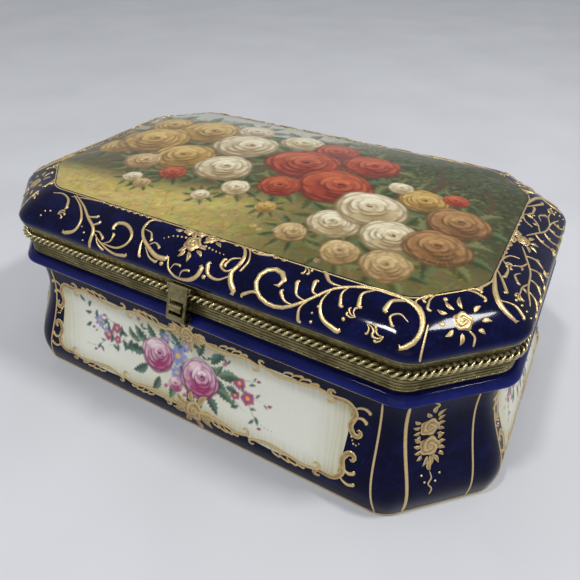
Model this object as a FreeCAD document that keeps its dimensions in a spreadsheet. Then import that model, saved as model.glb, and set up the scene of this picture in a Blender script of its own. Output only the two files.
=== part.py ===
"""Porcelain trinket box with gilt brass mounts, a rear hinge and a front clasp.

Lengths are in millimetres.  X runs along the box, the front faces -Y and Z points up.  The origin
is the centre of the underside of the foot.  Every outline in plan is the same octagon with rounded
corners, moved outwards or inwards from the centre line of the rope moulding on the rim.
"""
import FreeCAD, Part
import math
import os
import Sketcher

# name, value, what it sizes
SIZES = (
    # outline of the rim in plan, at the centre line of the rope moulding
    ("rim_half_length", 120.0, "rim centre line, half of the length"),
    ("rim_half_width", 76.0, "rim centre line, half of the width"),
    ("corner_cut", 30.0, "length cut off each side at a corner"),
    ("corner_radius", 13.0, "rounding between a side and a cut corner"),
    # lower box: height above the table and distance outside the rim line
    ("foot_out", 5.2, "edge of the foot"),
    ("belly_height", 10.5, "fullest part of the wall"),
    ("belly_out", 6.6, "fullest part of the wall"),
    ("flank_height", 26.0, "wall between belly and waist"),
    ("flank_out", 1.6, "wall between belly and waist"),
    ("waist_height", 43.0, "narrowest part of the wall"),
    ("waist_out", -3.0, "narrowest part of the wall"),
    ("line_height", 55.0, "gilt line under the shoulder"),
    ("line_out", -2.4, "gilt line under the shoulder"),
    ("shoulder_height", 58.2, "fullest part of the shoulder"),
    ("shoulder_out", 2.6, "fullest part of the shoulder"),
    ("shoulder_top_height", 61.0, "top of the shoulder, under the base mount"),
    ("shoulder_top_out", 0.3, "top of the shoulder, under the base mount"),
    ("base_wall", 4.5, "wall of the lower box"),
    ("floor_top", 7.5, "upper face of the floor"),
    ("floor_cove", 7.0, "rounding where the floor meets the wall"),
    ("floor_cove_rise", 3.5, "ring halfway up that rounding, above the floor"),
    ("floor_cove_in", 0.9, "ring halfway up that rounding, inside the wall"),
    ("foot_recess", 2.5, "depth of the hollow under the floor"),
    ("foot_ring", 7.0, "width of the ring that the box stands on"),
    # mounts
    ("mount_face_out", -1.5, "outer face of both mounts"),
    ("mount_sheet", 0.8, "thickness of the brass sheet"),
    ("cement_bed", 0.5, "cement between sheet and porcelain"),
    ("base_mount_height", 7.5, "height of the base mount"),
    ("mount_inner_drop", 2.6, "depth of the inner turned edge of a mount"),
    ("lip_rise", 1.6, "how far the locating lip stands above the parting line"),
    ("lip_gap", 0.4, "clearance between locating lip and lid mount"),
    ("rib_radius", 0.45, "round ribs on the base mount"),
    ("rib_pitch", 1.45, "distance between ribs"),
    ("rib_start", 1.0, "first rib above the lower edge of the base mount"),
    ("parting_gap", 0.25, "gap between the two mounts when closed"),
    ("lid_mount_height", 7.45, "height of the lid mount"),
    ("flare_height", 2.7, "height of the flared upper edge of the lid mount"),
    ("flare_out", 1.5, "reach of the flared upper edge"),
    ("edge_bead_radius", 0.45, "bead on the upper edge of the lid mount"),
    ("rope_radius", 1.5, "rope moulding"),
    # lid: height above its lower edge and distance outside the rim line
    ("lid_edge_out", 0.5, "lower edge of the glazed lid"),
    ("bulge_rise", 1.9, "widest part of the lid"),
    ("bulge_out", 0.9, "widest part of the lid"),
    ("brow_rise", 5.8, "lid turning inwards"),
    ("brow_out", -1.7, "lid turning inwards"),
    ("cove_rise", 9.6, "lid curving over"),
    ("cove_out", -7.6, "lid curving over"),
    ("border_rise", 12.6, "edge of the painted field"),
    ("border_out", -16.5, "edge of the painted field"),
    ("dome_rise", 15.9, "ring on the dome"),
    ("dome_half_length", 62.0, "ring on the dome"),
    ("dome_half_width", 35.0, "ring on the dome"),
    ("dome_cut", 16.0, "ring on the dome"),
    ("dome_radius", 18.0, "ring on the dome"),
    ("crown_rise", 17.6, "flat at the top of the dome"),
    ("crown_half_length", 20.0, "flat at the top of the dome"),
    ("crown_half_width", 11.0, "flat at the top of the dome"),
    ("crown_cut", 6.0, "flat at the top of the dome"),
    ("crown_radius", 8.0, "flat at the top of the dome"),
    ("lid_wall", 4.0, "wall of the lid"),
    # rear hinge
    ("knuckle_length", 10.8, "one knuckle"),
    ("knuckle_gap", 0.3, "gap between neighbouring knuckles"),
    ("barrel_radius", 2.1, "outside of a knuckle"),
    ("hinge_pin_radius", 0.9, "hinge pin"),
    ("pin_seat_gap", 0.02, "pin in the knuckles that hold it"),
    ("pin_run_gap", 0.06, "pin in the knuckles that turn on it"),
    ("pin_head_radius", 1.5, "head at each end of the hinge pin"),
    ("pin_head_length", 0.9, "head at each end of the hinge pin"),
    ("leaf_sheet", 0.9, "thickness of a hinge leaf"),
    ("leaf_height", 4.2, "height of a hinge leaf"),
    ("leaf_margin", 0.5, "hinge leaf below or above the parting line"),
    ("barrel_gap", 0.25, "barrel to the leaves"),
    ("rope_end_gap", 0.4, "rope end to the head of the hinge pin"),
    # clasp
    ("clasp_width", 9.0, "width of the strap"),
    ("clasp_sheet", 0.7, "thickness of the strap"),
    ("clasp_pin_radius", 0.55, "clasp pin"),
    ("clasp_pin_out", 0.9, "axis of the clasp pin outside the rim line"),
    ("clasp_pin_drop", 2.3, "axis of the clasp pin below the top of the lid mount"),
    ("clasp_side_gap", 0.2, "strap to each lug"),
    ("lug_thickness", 0.9, "one lug of the clasp bracket"),
    ("lug_radius", 1.2, "rounded end of a lug"),
    ("bracket_sheet", 0.8, "back strip of the clasp bracket"),
    ("bracket_height", 1.4, "back strip of the clasp bracket"),
    ("rope_clearance", 0.25, "bracket above the rope moulding"),
    ("curl_radius", 2.3, "outside of the rolled end of the strap"),
    ("curl_out", 4.0, "axis of the rolled end outside the rim line"),
    ("curl_drop", 12.0, "axis of the rolled end below the clasp pin"),
    ("window_width", 6.6, "window in the strap"),
    ("window_top_drop", 4.7, "upper edge of the window below the clasp pin"),
    ("window_bottom_drop", 10.3, "lower edge of the window below the clasp pin"),
    # catch on the base mount
    ("catch_width", 5.8, "catch loop"),
    ("catch_radius", 1.6, "rounded nose of the catch loop"),
    ("catch_sheet", 0.6, "thickness of the catch loop"),
    ("catch_out", 4.6, "axis of the nose outside the rim line"),
    ("catch_drop", 7.5, "axis of the nose below the clasp pin"),
    ("catch_foot", 1.3, "foot of the catch loop above and below it"),
)

KNUCKLES = 5
RIBS = 5
SIDES = 8
SIDE_TURN = math.radians(45)
FRONT_TURN = math.radians(-90)
THROUGH = 2

doc = FreeCAD.newDocument("TrinketBox")
sheet = doc.addObject("Spreadsheet::Sheet", "Sizes")
for row, (alias, value, note) in enumerate(SIZES, start=1):
    sheet.set("A%d" % row, alias)
    sheet.set("B%d" % row, str(value))
    sheet.set("C%d" % row, note)
    sheet.setAlias("B%d" % row, alias)
doc.recompute()


class Length:
    """A length with the expression that ties it to the sheet and its value for the first drawing."""

    def __init__(self, text, value):
        self.text = text
        self.value = value

    def _join(self, sign, other, value):
        right = other.text if isinstance(other, Length) else repr(other)
        return Length("(%s %s %s)" % (self.text, sign, right), value)

    def __add__(self, other):
        return self._join("+", other, self.value + getattr(other, "value", other))

    def __sub__(self, other):
        return self._join("-", other, self.value - getattr(other, "value", other))

    def __mul__(self, factor):
        return self._join("*", factor, self.value * factor)

    def __truediv__(self, divisor):
        return self._join("/", divisor, self.value / divisor)

    def __neg__(self):
        return Length("(0 - %s)" % self.text, -self.value)


def size(alias):
    """The named value of the sheet."""
    return Length("Sizes.%s" % alias, float(sheet.get(alias)))


def bind(owner, prop, length):
    """Tie one property of an object to the sheet."""
    owner.setExpression(prop, length.text)


# ---- places worked out from the sheet -------------------------------------------------------
PARTING = size("shoulder_top_height") + size("base_mount_height")
LID_MOUNT_FOOT = PARTING + size("parting_gap")
LID_EDGE = LID_MOUNT_FOOT + size("lid_mount_height")
MOUNT_INSIDE = size("mount_face_out") - size("mount_sheet")
NECK_OUT = MOUNT_INSIDE - size("cement_bed")
BASE_NECK_IN = NECK_OUT - size("base_wall")
LID_NECK_IN = NECK_OUT - size("lid_wall")
BASE_NECK_TOP = PARTING - size("mount_sheet") - size("cement_bed")
LID_NECK_FOOT = LID_MOUNT_FOOT + size("mount_sheet") + size("cement_bed")
ROPE_HEIGHT = LID_MOUNT_FOOT + size("rope_radius")
KNUCKLE_PITCH = size("knuckle_length") + size("knuckle_gap")
HINGE_HALF = KNUCKLE_PITCH * KNUCKLES / 2 - size("knuckle_gap") / 2
PIN_HEAD_START = HINGE_HALF + size("knuckle_gap") / 2
LEAF_BACK = size("rim_half_width") + size("mount_face_out") + size("rib_radius")
LEAF_FACE = LEAF_BACK + size("leaf_sheet")
HINGE_Y = LEAF_FACE + size("barrel_gap") + size("barrel_radius")
HINGE_Z = PARTING + size("parting_gap") / 2
CLASP_PIN_Y = -size("rim_half_width") - size("clasp_pin_out")
CLASP_PIN_Z = LID_EDGE - size("clasp_pin_drop")


# ---- drawing helpers --------------------------------------------------------------------------
def new_body(name):
    """An empty body whose label names its file."""
    body = doc.addObject("PartDesign::Body", name)
    body.Label = name
    return body


def sketch_on(body, plane, name, offset=None):
    """A sketch on one of the body's own origin planes, moved along the plane's normal."""
    sketch = body.newObject("Sketcher::SketchObject", name)
    origin = [feature for feature in body.Origin.OriginFeatures if feature.Role == plane][0]
    sketch.AttachmentSupport = [(origin, "")]
    sketch.MapMode = "FlatFace"
    if offset is not None:
        sketch.AttachmentOffset = FreeCAD.Placement(
            FreeCAD.Vector(0, 0, offset.value), FreeCAD.Rotation())
        bind(sketch, ".AttachmentOffset.Base.z", offset)
    return sketch


def hold(sketch, kind, *places, length):
    """A dimension of a sketch, tied to the sheet."""
    index = sketch.addConstraint(Sketcher.Constraint(kind, *places, length.value))
    bind(sketch, "Constraints[%d]" % index, length)


def place_point(sketch, geometry, end, across, up):
    """Hold one point of a sketch at two distances from the origin, which may be negative."""
    for kind, length in (("DistanceX", across), ("DistanceY", up)):
        if length.value >= 0:
            hold(sketch, kind, -1, 1, geometry, end, length=length)
        else:
            hold(sketch, kind, geometry, end, -1, 1, length=-length)


def polygon(sketch, corners):
    """A closed outline of straight lines through corners given as pairs of lengths."""
    points = [FreeCAD.Vector(across.value, up.value, 0) for across, up in corners]
    first = sketch.GeometryCount
    count = len(points)
    for index in range(count):
        sketch.addGeometry(Part.LineSegment(points[index], points[(index + 1) % count]), False)
    for index in range(count):
        following = first + (index + 1) % count
        sketch.addConstraint(Sketcher.Constraint("Coincident", first + index, 2, following, 1))
        place_point(sketch, first + index, 1, *corners[index])


def rectangle(sketch, low, high):
    """A rectangle between two opposite corners given as pairs of lengths."""
    polygon(sketch, (low, (high[0], low[1]), high, (low[0], high[1])))


def circle(sketch, centre, radius):
    """A circle with its centre at a pair of lengths."""
    middle = FreeCAD.Vector(centre[0].value, centre[1].value, 0)
    index = sketch.addGeometry(Part.Circle(middle, FreeCAD.Vector(0, 0, 1), radius.value), False)
    hold(sketch, "Radius", index, length=radius)
    place_point(sketch, index, 3, *centre)


def octagon(sketch, half_length, half_width, half_corner, radius):
    """A rounded octagon: the three distances run from the centre to a side, square to it."""
    reach = (half_width, half_corner, half_length, half_corner) * 2
    turns = [FRONT_TURN + SIDE_TURN * step for step in range(SIDES)]
    normals = [FreeCAD.Vector(math.cos(turn), math.sin(turn), 0) for turn in turns]
    tangents = [FreeCAD.Vector(-math.sin(turn), math.cos(turn), 0) for turn in turns]
    trim = radius.value * math.tan(SIDE_TURN / 2)
    corners = []
    for step in range(SIDES):
        near, far = reach[step].value, reach[(step + 1) % SIDES].value
        along = (far - near * math.cos(SIDE_TURN)) / math.sin(SIDE_TURN)
        corners.append(normals[step] * near + tangents[step] * along)
    lines = []
    arcs = []
    for step in range(SIDES):
        start = corners[step - 1] + tangents[step] * trim
        end = corners[step] - tangents[step] * trim
        lines.append(sketch.addGeometry(Part.LineSegment(start, end), False))
    for step in range(SIDES):
        centre = corners[step] - tangents[step] * trim - normals[step] * radius.value
        round_off = Part.Circle(centre, FreeCAD.Vector(0, 0, 1), radius.value)
        arc = Part.ArcOfCircle(round_off, turns[step], turns[step] + SIDE_TURN)
        arcs.append(sketch.addGeometry(arc, False))
    for step in range(SIDES):
        sketch.addConstraint(Sketcher.Constraint("Tangent", lines[step], 2, arcs[step], 1))
        sketch.addConstraint(
            Sketcher.Constraint("Tangent", arcs[step], 2, lines[(step + 1) % SIDES], 1))
    for step, line in enumerate(lines):
        if step % 4 == 0:
            sketch.addConstraint(Sketcher.Constraint("Horizontal", line))
        elif step % 4 == 2:
            sketch.addConstraint(Sketcher.Constraint("Vertical", line))
        else:
            sketch.addConstraint(
                Sketcher.Constraint("Angle", -1, 1, line, 1, turns[step] + math.pi / 2))
    for arc in arcs[1:]:
        sketch.addConstraint(Sketcher.Constraint("Equal", arcs[0], arc))
    hold(sketch, "Radius", arcs[0], length=radius)
    hold(sketch, "DistanceY", lines[0], 1, -1, 1, length=half_width)
    hold(sketch, "DistanceX", -1, 1, lines[2], 1, length=half_length)
    hold(sketch, "DistanceY", -1, 1, lines[4], 1, length=half_width)
    hold(sketch, "DistanceX", lines[6], 1, -1, 1, length=half_length)
    for step in (1, 3, 5, 7):
        hold(sketch, "Distance", -1, 1, lines[step], length=half_corner)


def corner_reach(half_length, half_width, cut):
    """Distance from the centre to the cut corner's face."""
    return (half_length + half_width - cut) / math.sqrt(2)


RIM_CORNER = corner_reach(size("rim_half_length"), size("rim_half_width"), size("corner_cut"))


def rim_octagon(body, name, height, out, radius=None):
    """The rim's octagon at a height, moved outwards; its corners stay parallel by default."""
    sketch = sketch_on(body, "XY_Plane", name, height)
    if radius is None:
        radius = size("corner_radius") + out
    octagon(sketch, size("rim_half_length") + out, size("rim_half_width") + out,
            RIM_CORNER + out, radius)
    return sketch


def rim_line(body, name, height):
    """The rim's own octagon at a height."""
    sketch = sketch_on(body, "XY_Plane", name, height)
    octagon(sketch, size("rim_half_length"), size("rim_half_width"), RIM_CORNER,
            size("corner_radius"))
    return sketch


def own_octagon(body, name, height, half_length, half_width, cut, radius):
    """An octagon with sizes of its own."""
    sketch = sketch_on(body, "XY_Plane", name, height)
    octagon(sketch, half_length, half_width, corner_reach(half_length, half_width, cut), radius)
    return sketch


def loft(body, kind, name, sketches):
    """A smooth loft through sketches, which adds to or cuts the body."""
    feature = body.newObject("PartDesign::%sLoft" % kind, name)
    feature.Profile = sketches[0]
    feature.Sections = sketches[1:]
    feature.Ruled = False
    body.Tip = feature
    return feature


def pad(body, name, sketch, length, centred=False, reversed_way=False):
    """A pad of a sketch by a length."""
    feature = body.newObject("PartDesign::Pad", name)
    feature.Profile = sketch
    feature.Midplane = centred
    feature.Reversed = reversed_way
    feature.Length = length.value
    bind(feature, "Length", length)
    body.Tip = feature
    return feature


def pocket(body, name, sketch, length, centred=False, reversed_way=False):
    """A pocket of a sketch by a length."""
    feature = body.newObject("PartDesign::Pocket", name)
    feature.Profile = sketch
    feature.Midplane = centred
    feature.Reversed = reversed_way
    feature.Length = length.value
    bind(feature, "Length", length)
    body.Tip = feature
    return feature


def ring_pipe(body, name, profile, height):
    """Carry a profile around the rim line drawn at a height."""
    path = rim_line(body, name + "_path", height)
    feature = body.newObject("PartDesign::AdditivePipe", name)
    feature.Profile = profile
    feature.Spine = (path, [])
    feature.Mode = "Standard"
    body.Tip = feature
    return feature


def side_profile(body, name, corners):
    """A closed section across the rim: pairs of distance outside the rim line and height."""
    sketch = sketch_on(body, "XZ_Plane", name)
    rim = size("rim_half_length")
    polygon(sketch, [(rim + out, height) for out, height in corners])
    return sketch


# ---- lower box ------------------------------------------------------------------------------
def build_base_bowl():
    """Porcelain lower box: waisted wall, rolled shoulder, neck for the mount and a foot ring."""
    body = new_body("base_bowl")
    radius = size("corner_radius")
    wall_rings = (("foot", None), ("belly", "belly_height"), ("flank", "flank_height"),
                  ("waist", "waist_height"), ("line", "line_height"))
    sketches = []
    for ring, height in wall_rings:
        level = size(height) if height else None
        sketches.append(rim_octagon(body, ring + "_ring", level, size(ring + "_out"), radius))
    loft(body, "Additive", "wall", sketches)
    sketches = [rim_octagon(body, "roll_foot_ring", size("line_height"), size("line_out"), radius)]
    for ring in ("shoulder", "shoulder_top"):
        sketches.append(
            rim_octagon(body, ring + "_ring", size(ring + "_height"), size(ring + "_out"), radius))
    loft(body, "Additive", "shoulder_roll", sketches)
    neck = rim_octagon(body, "neck_ring", size("shoulder_top_height"), NECK_OUT)
    pad(body, "neck", neck, BASE_NECK_TOP - size("shoulder_top_height"))

    wall = size("base_wall")
    inside = size("flank_out") - wall
    sketches = [
        rim_octagon(body, "floor_inner", size("floor_top"), inside - size("floor_cove"), radius),
        rim_octagon(body, "cove_inner", size("floor_top") + size("floor_cove_rise"),
                    inside - size("floor_cove_in"), radius),
        rim_octagon(body, "flank_inner", size("flank_height"), inside, radius),
        rim_octagon(body, "waist_inner", size("waist_height"), size("waist_out") - wall, radius),
        rim_octagon(body, "neck_inner", size("shoulder_top_height"), BASE_NECK_IN),
    ]
    loft(body, "Subtractive", "hollow", sketches)
    mouth = rim_octagon(body, "mouth_inner", size("shoulder_top_height"), BASE_NECK_IN)
    pocket(body, "mouth", mouth, BASE_NECK_TOP - size("shoulder_top_height"), reversed_way=True)
    recess = rim_octagon(body, "recess_ring", None, size("foot_out") - size("foot_ring"))
    pocket(body, "recess", recess, size("foot_recess"), reversed_way=True)


def build_lid_shell():
    """Porcelain lid: a neck inside the mount, a bulging cove and a low dome."""
    body = new_body("lid_shell")
    radius = size("corner_radius")
    edge = rim_octagon(body, "edge_ring", LID_EDGE, size("lid_edge_out"), radius)
    bulge = rim_octagon(body, "edge_top_ring", LID_EDGE + size("bulge_rise"),
                        size("bulge_out"), radius)
    loft(body, "Additive", "edge_roll", [edge, bulge])
    sketches = []
    for ring in ("bulge", "brow", "cove", "border"):
        sketches.append(
            rim_octagon(body, ring + "_ring", LID_EDGE + size(ring + "_rise"),
                        size(ring + "_out"), radius))
    loft(body, "Additive", "cove_roll", sketches)
    sketches = [rim_octagon(body, "dome_foot_ring", LID_EDGE + size("border_rise"),
                            size("border_out"), radius)]
    for ring in ("dome", "crown"):
        sketches.append(
            own_octagon(body, ring + "_ring", LID_EDGE + size(ring + "_rise"),
                        size(ring + "_half_length"), size(ring + "_half_width"),
                        size(ring + "_cut"), size(ring + "_radius")))
    loft(body, "Additive", "dome", sketches)
    neck = rim_octagon(body, "neck_ring", LID_NECK_FOOT, NECK_OUT)
    pad(body, "neck", neck, LID_EDGE - LID_NECK_FOOT)

    wall = size("lid_wall")
    mouth = rim_octagon(body, "mouth_inner", LID_NECK_FOOT, LID_NECK_IN)
    pocket(body, "mouth", mouth, LID_EDGE + size("bulge_rise") - LID_NECK_FOOT, reversed_way=True)
    sketches = [
        rim_octagon(body, "brow_inner", LID_EDGE + size("bulge_rise"), LID_NECK_IN),
        rim_octagon(body, "cove_inner", LID_EDGE + size("cove_rise") - wall,
                    size("cove_out") - wall, radius),
        rim_octagon(body, "border_inner", LID_EDGE + size("border_rise") - wall,
                    size("border_out") - wall, radius),
    ]
    loft(body, "Subtractive", "cove_hollow", sketches)
    foot = rim_octagon(body, "dome_foot_inner", LID_EDGE + size("border_rise") - wall,
                       size("border_out") - wall, radius)
    crown = own_octagon(body, "crown_inner", LID_EDGE + size("crown_rise") - wall,
                        size("crown_half_length"), size("crown_half_width"),
                        size("crown_cut"), size("crown_radius"))
    loft(body, "Subtractive", "dome_hollow", [foot, crown])


# ---- brass mounts and the cement that holds them ------------------------------------------------
def build_base_mount():
    """Brass channel over the neck of the lower box, with round ribs and a locating lip."""
    body = new_body("base_mount")
    sheet_out = size("mount_sheet")
    outer, inner = size("mount_face_out"), MOUNT_INSIDE
    foot = size("shoulder_top_height")
    under = PARTING - sheet_out
    back = BASE_NECK_IN - size("cement_bed")
    lip_out = LID_NECK_IN - size("cement_bed") - sheet_out - size("lip_gap")
    lip_in = lip_out - sheet_out
    profile = side_profile(body, "channel", (
        (outer, foot), (outer, PARTING), (lip_out, PARTING), (lip_out, PARTING + size("lip_rise")),
        (lip_in, PARTING + size("lip_rise")), (lip_in, PARTING - size("mount_inner_drop")),
        (back, PARTING - size("mount_inner_drop")), (back, under), (inner, under), (inner, foot)))
    ring_pipe(body, "collar", profile, PARTING)
    rib_height = foot + size("rib_start")
    rib_profile = sketch_on(body, "XZ_Plane", "rib_section")
    circle(rib_profile, (size("rim_half_length") + outer, rib_height), size("rib_radius"))
    rib = ring_pipe(body, "rib", rib_profile, rib_height)
    pattern = body.newObject("PartDesign::LinearPattern", "ribs")
    pattern.Originals = [rib]
    up = [feature for feature in body.Origin.OriginFeatures if feature.Role == "Z_Axis"][0]
    pattern.Direction = (up, [""])
    pattern.Occurrences = RIBS
    pattern.Length = (size("rib_pitch") * (RIBS - 1)).value
    bind(pattern, "Length", size("rib_pitch") * (RIBS - 1))
    body.Tip = pattern


def build_lid_mount():
    """Brass channel under the neck of the lid, flared out to the porcelain above."""
    body = new_body("lid_mount")
    sheet_out = size("mount_sheet")
    outer, inner = size("mount_face_out"), MOUNT_INSIDE
    foot, top = LID_MOUNT_FOOT, LID_EDGE
    over = foot + sheet_out
    bend = top - size("flare_height")
    back = LID_NECK_IN - size("cement_bed")
    profile = side_profile(body, "channel", (
        (outer, foot), (outer, bend), (outer + size("flare_out"), top), (inner, top),
        (inner, over), (back, over), (back, foot + size("mount_inner_drop")),
        (back - sheet_out, foot + size("mount_inner_drop")), (back - sheet_out, foot)))
    ring_pipe(body, "collar", profile, foot)
    bead_profile = sketch_on(body, "XZ_Plane", "bead_section")
    bead = size("edge_bead_radius")
    circle(bead_profile, (size("rim_half_length") + outer + size("flare_out"), top - bead), bead)
    ring_pipe(body, "edge_bead", bead_profile, top - bead)


def build_cement(name, neck_in, neck_end, face_end, inner_end):
    """Cement that fills a mount's channel on three sides of the porcelain neck."""
    body = new_body(name)
    bed = size("cement_bed")
    profile = side_profile(body, "bed", (
        (NECK_OUT, face_end), (MOUNT_INSIDE, face_end), (MOUNT_INSIDE, neck_end[1]),
        (neck_in - bed, neck_end[1]), (neck_in - bed, inner_end), (neck_in, inner_end),
        (neck_in, neck_end[0]), (NECK_OUT, neck_end[0])))
    ring_pipe(body, "ring", profile, face_end)


def build_lid_rope():
    """Rope moulding under the lid mount's wall, open at the back where the hinge sits."""
    body = new_body("lid_rope")
    profile = sketch_on(body, "XZ_Plane", "rope_section")
    circle(profile, (size("rim_half_length"), ROPE_HEIGHT), size("rope_radius"))
    ring_pipe(body, "rope", profile, ROPE_HEIGHT)
    gap = sketch_on(body, "XY_Plane", "hinge_gap", LID_MOUNT_FOOT)
    half = PIN_HEAD_START + size("pin_head_length") + size("rope_end_gap")
    middle = size("rim_half_width")
    reach = size("rope_radius") * 2
    rectangle(gap, (-half, middle - reach), (half, middle + reach))
    pocket(body, "gap", gap, size("rope_radius") * 2, reversed_way=True)


# ---- rear hinge ------------------------------------------------------------------------------
def build_hinge_leaf(name, upwards, first, count):
    """Hinge leaf soldered to the back of a mount, with every second knuckle of the barrel."""
    body = new_body(name)
    margin = size("leaf_margin")
    near = LID_MOUNT_FOOT + margin if upwards else PARTING - margin
    far = near + size("leaf_height") if upwards else near - size("leaf_height")
    low, high = (near, far) if upwards else (far, near)
    plate = sketch_on(body, "YZ_Plane", "plate_section")
    back = size("rim_half_width") + size("mount_face_out") if upwards else LEAF_BACK
    rectangle(plate, (back, low), (LEAF_FACE, high))
    pad(body, "plate", plate, HINGE_HALF * 2, centred=True)
    start = -HINGE_HALF + KNUCKLE_PITCH * first
    barrel = sketch_on(body, "YZ_Plane", "barrel_section", start)
    circle(barrel, (HINGE_Y, HINGE_Z), size("barrel_radius"))
    knuckle = pad(body, "knuckle", barrel, size("knuckle_length"))
    web = sketch_on(body, "YZ_Plane", "web_section", start)
    if upwards:
        web_low, web_high = near, HINGE_Z + size("barrel_radius")
    else:
        web_low, web_high = HINGE_Z - size("barrel_radius"), near
    rectangle(web, (LEAF_FACE, web_low), (HINGE_Y, web_high))
    arm = pad(body, "web", web, size("knuckle_length"))
    along = [feature for feature in body.Origin.OriginFeatures if feature.Role == "X_Axis"][0]
    pattern = body.newObject("PartDesign::LinearPattern", "knuckles")
    pattern.Originals = [knuckle, arm]
    pattern.Direction = (along, [""])
    pattern.Occurrences = count
    pattern.Length = (KNUCKLE_PITCH * 2 * (count - 1)).value
    bind(pattern, "Length", KNUCKLE_PITCH * 2 * (count - 1))
    body.Tip = pattern
    bore = sketch_on(body, "YZ_Plane", "bore_section")
    gap = size("pin_run_gap") if upwards else size("pin_seat_gap")
    circle(bore, (HINGE_Y, HINGE_Z), size("hinge_pin_radius") + gap)
    pocket(body, "bore", bore, HINGE_HALF * 2 + size("knuckle_length"), centred=True)


def build_hinge_pin():
    """Hinge pin with a head at each end."""
    body = new_body("hinge_pin")
    centre = (HINGE_Y, HINGE_Z)
    shaft = sketch_on(body, "YZ_Plane", "shaft_section")
    circle(shaft, centre, size("hinge_pin_radius"))
    pad(body, "shaft", shaft, PIN_HEAD_START * 2 + size("pin_head_length"), centred=True)
    right = sketch_on(body, "YZ_Plane", "right_head_section", PIN_HEAD_START)
    circle(right, centre, size("pin_head_radius"))
    pad(body, "right_head", right, size("pin_head_length"))
    left = sketch_on(body, "YZ_Plane", "left_head_section", -PIN_HEAD_START)
    circle(left, centre, size("pin_head_radius"))
    pad(body, "left_head", left, size("pin_head_length"), reversed_way=True)


# ---- clasp and catch ----------------------------------------------------------------------------
def build_clasp_bracket():
    """Strip soldered to the front of the lid mount with two lugs for the clasp pin."""
    body = new_body("clasp_bracket")
    face = -size("rim_half_width") - size("mount_face_out")
    low = ROPE_HEIGHT + size("rope_radius") + size("rope_clearance")
    high = low + size("bracket_height")
    lug_start = size("clasp_width") / 2 + size("clasp_side_gap")
    strip = sketch_on(body, "YZ_Plane", "strip_section")
    rectangle(strip, (face - size("bracket_sheet"), low), (face, high))
    pad(body, "strip", strip, (lug_start + size("lug_thickness")) * 2, centred=True)
    for side in ("right", "left"):
        start = lug_start if side == "right" else -lug_start
        arm = sketch_on(body, "YZ_Plane", side + "_arm_section", start)
        rectangle(arm, (CLASP_PIN_Y, low), (face, high))
        pad(body, side + "_arm", arm, size("lug_thickness"), reversed_way=side == "left")
        eye = sketch_on(body, "YZ_Plane", side + "_eye_section", start)
        circle(eye, (CLASP_PIN_Y, CLASP_PIN_Z), size("lug_radius"))
        pad(body, side + "_eye", eye, size("lug_thickness"), reversed_way=side == "left")
    bore = sketch_on(body, "YZ_Plane", "bore_section")
    circle(bore, (CLASP_PIN_Y, CLASP_PIN_Z), size("clasp_pin_radius") + size("pin_seat_gap"))
    pocket(body, "bore", bore, (lug_start + size("lug_thickness")) * 2, centred=True)


def build_clasp_pin():
    """Straight pin through the lugs and the eye of the strap."""
    body = new_body("clasp_pin")
    section = sketch_on(body, "YZ_Plane", "section")
    circle(section, (CLASP_PIN_Y, CLASP_PIN_Z), size("clasp_pin_radius"))
    half = size("clasp_width") / 2 + size("clasp_side_gap") + size("lug_thickness")
    pad(body, "pin", section, half * 2, centred=True)


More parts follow.
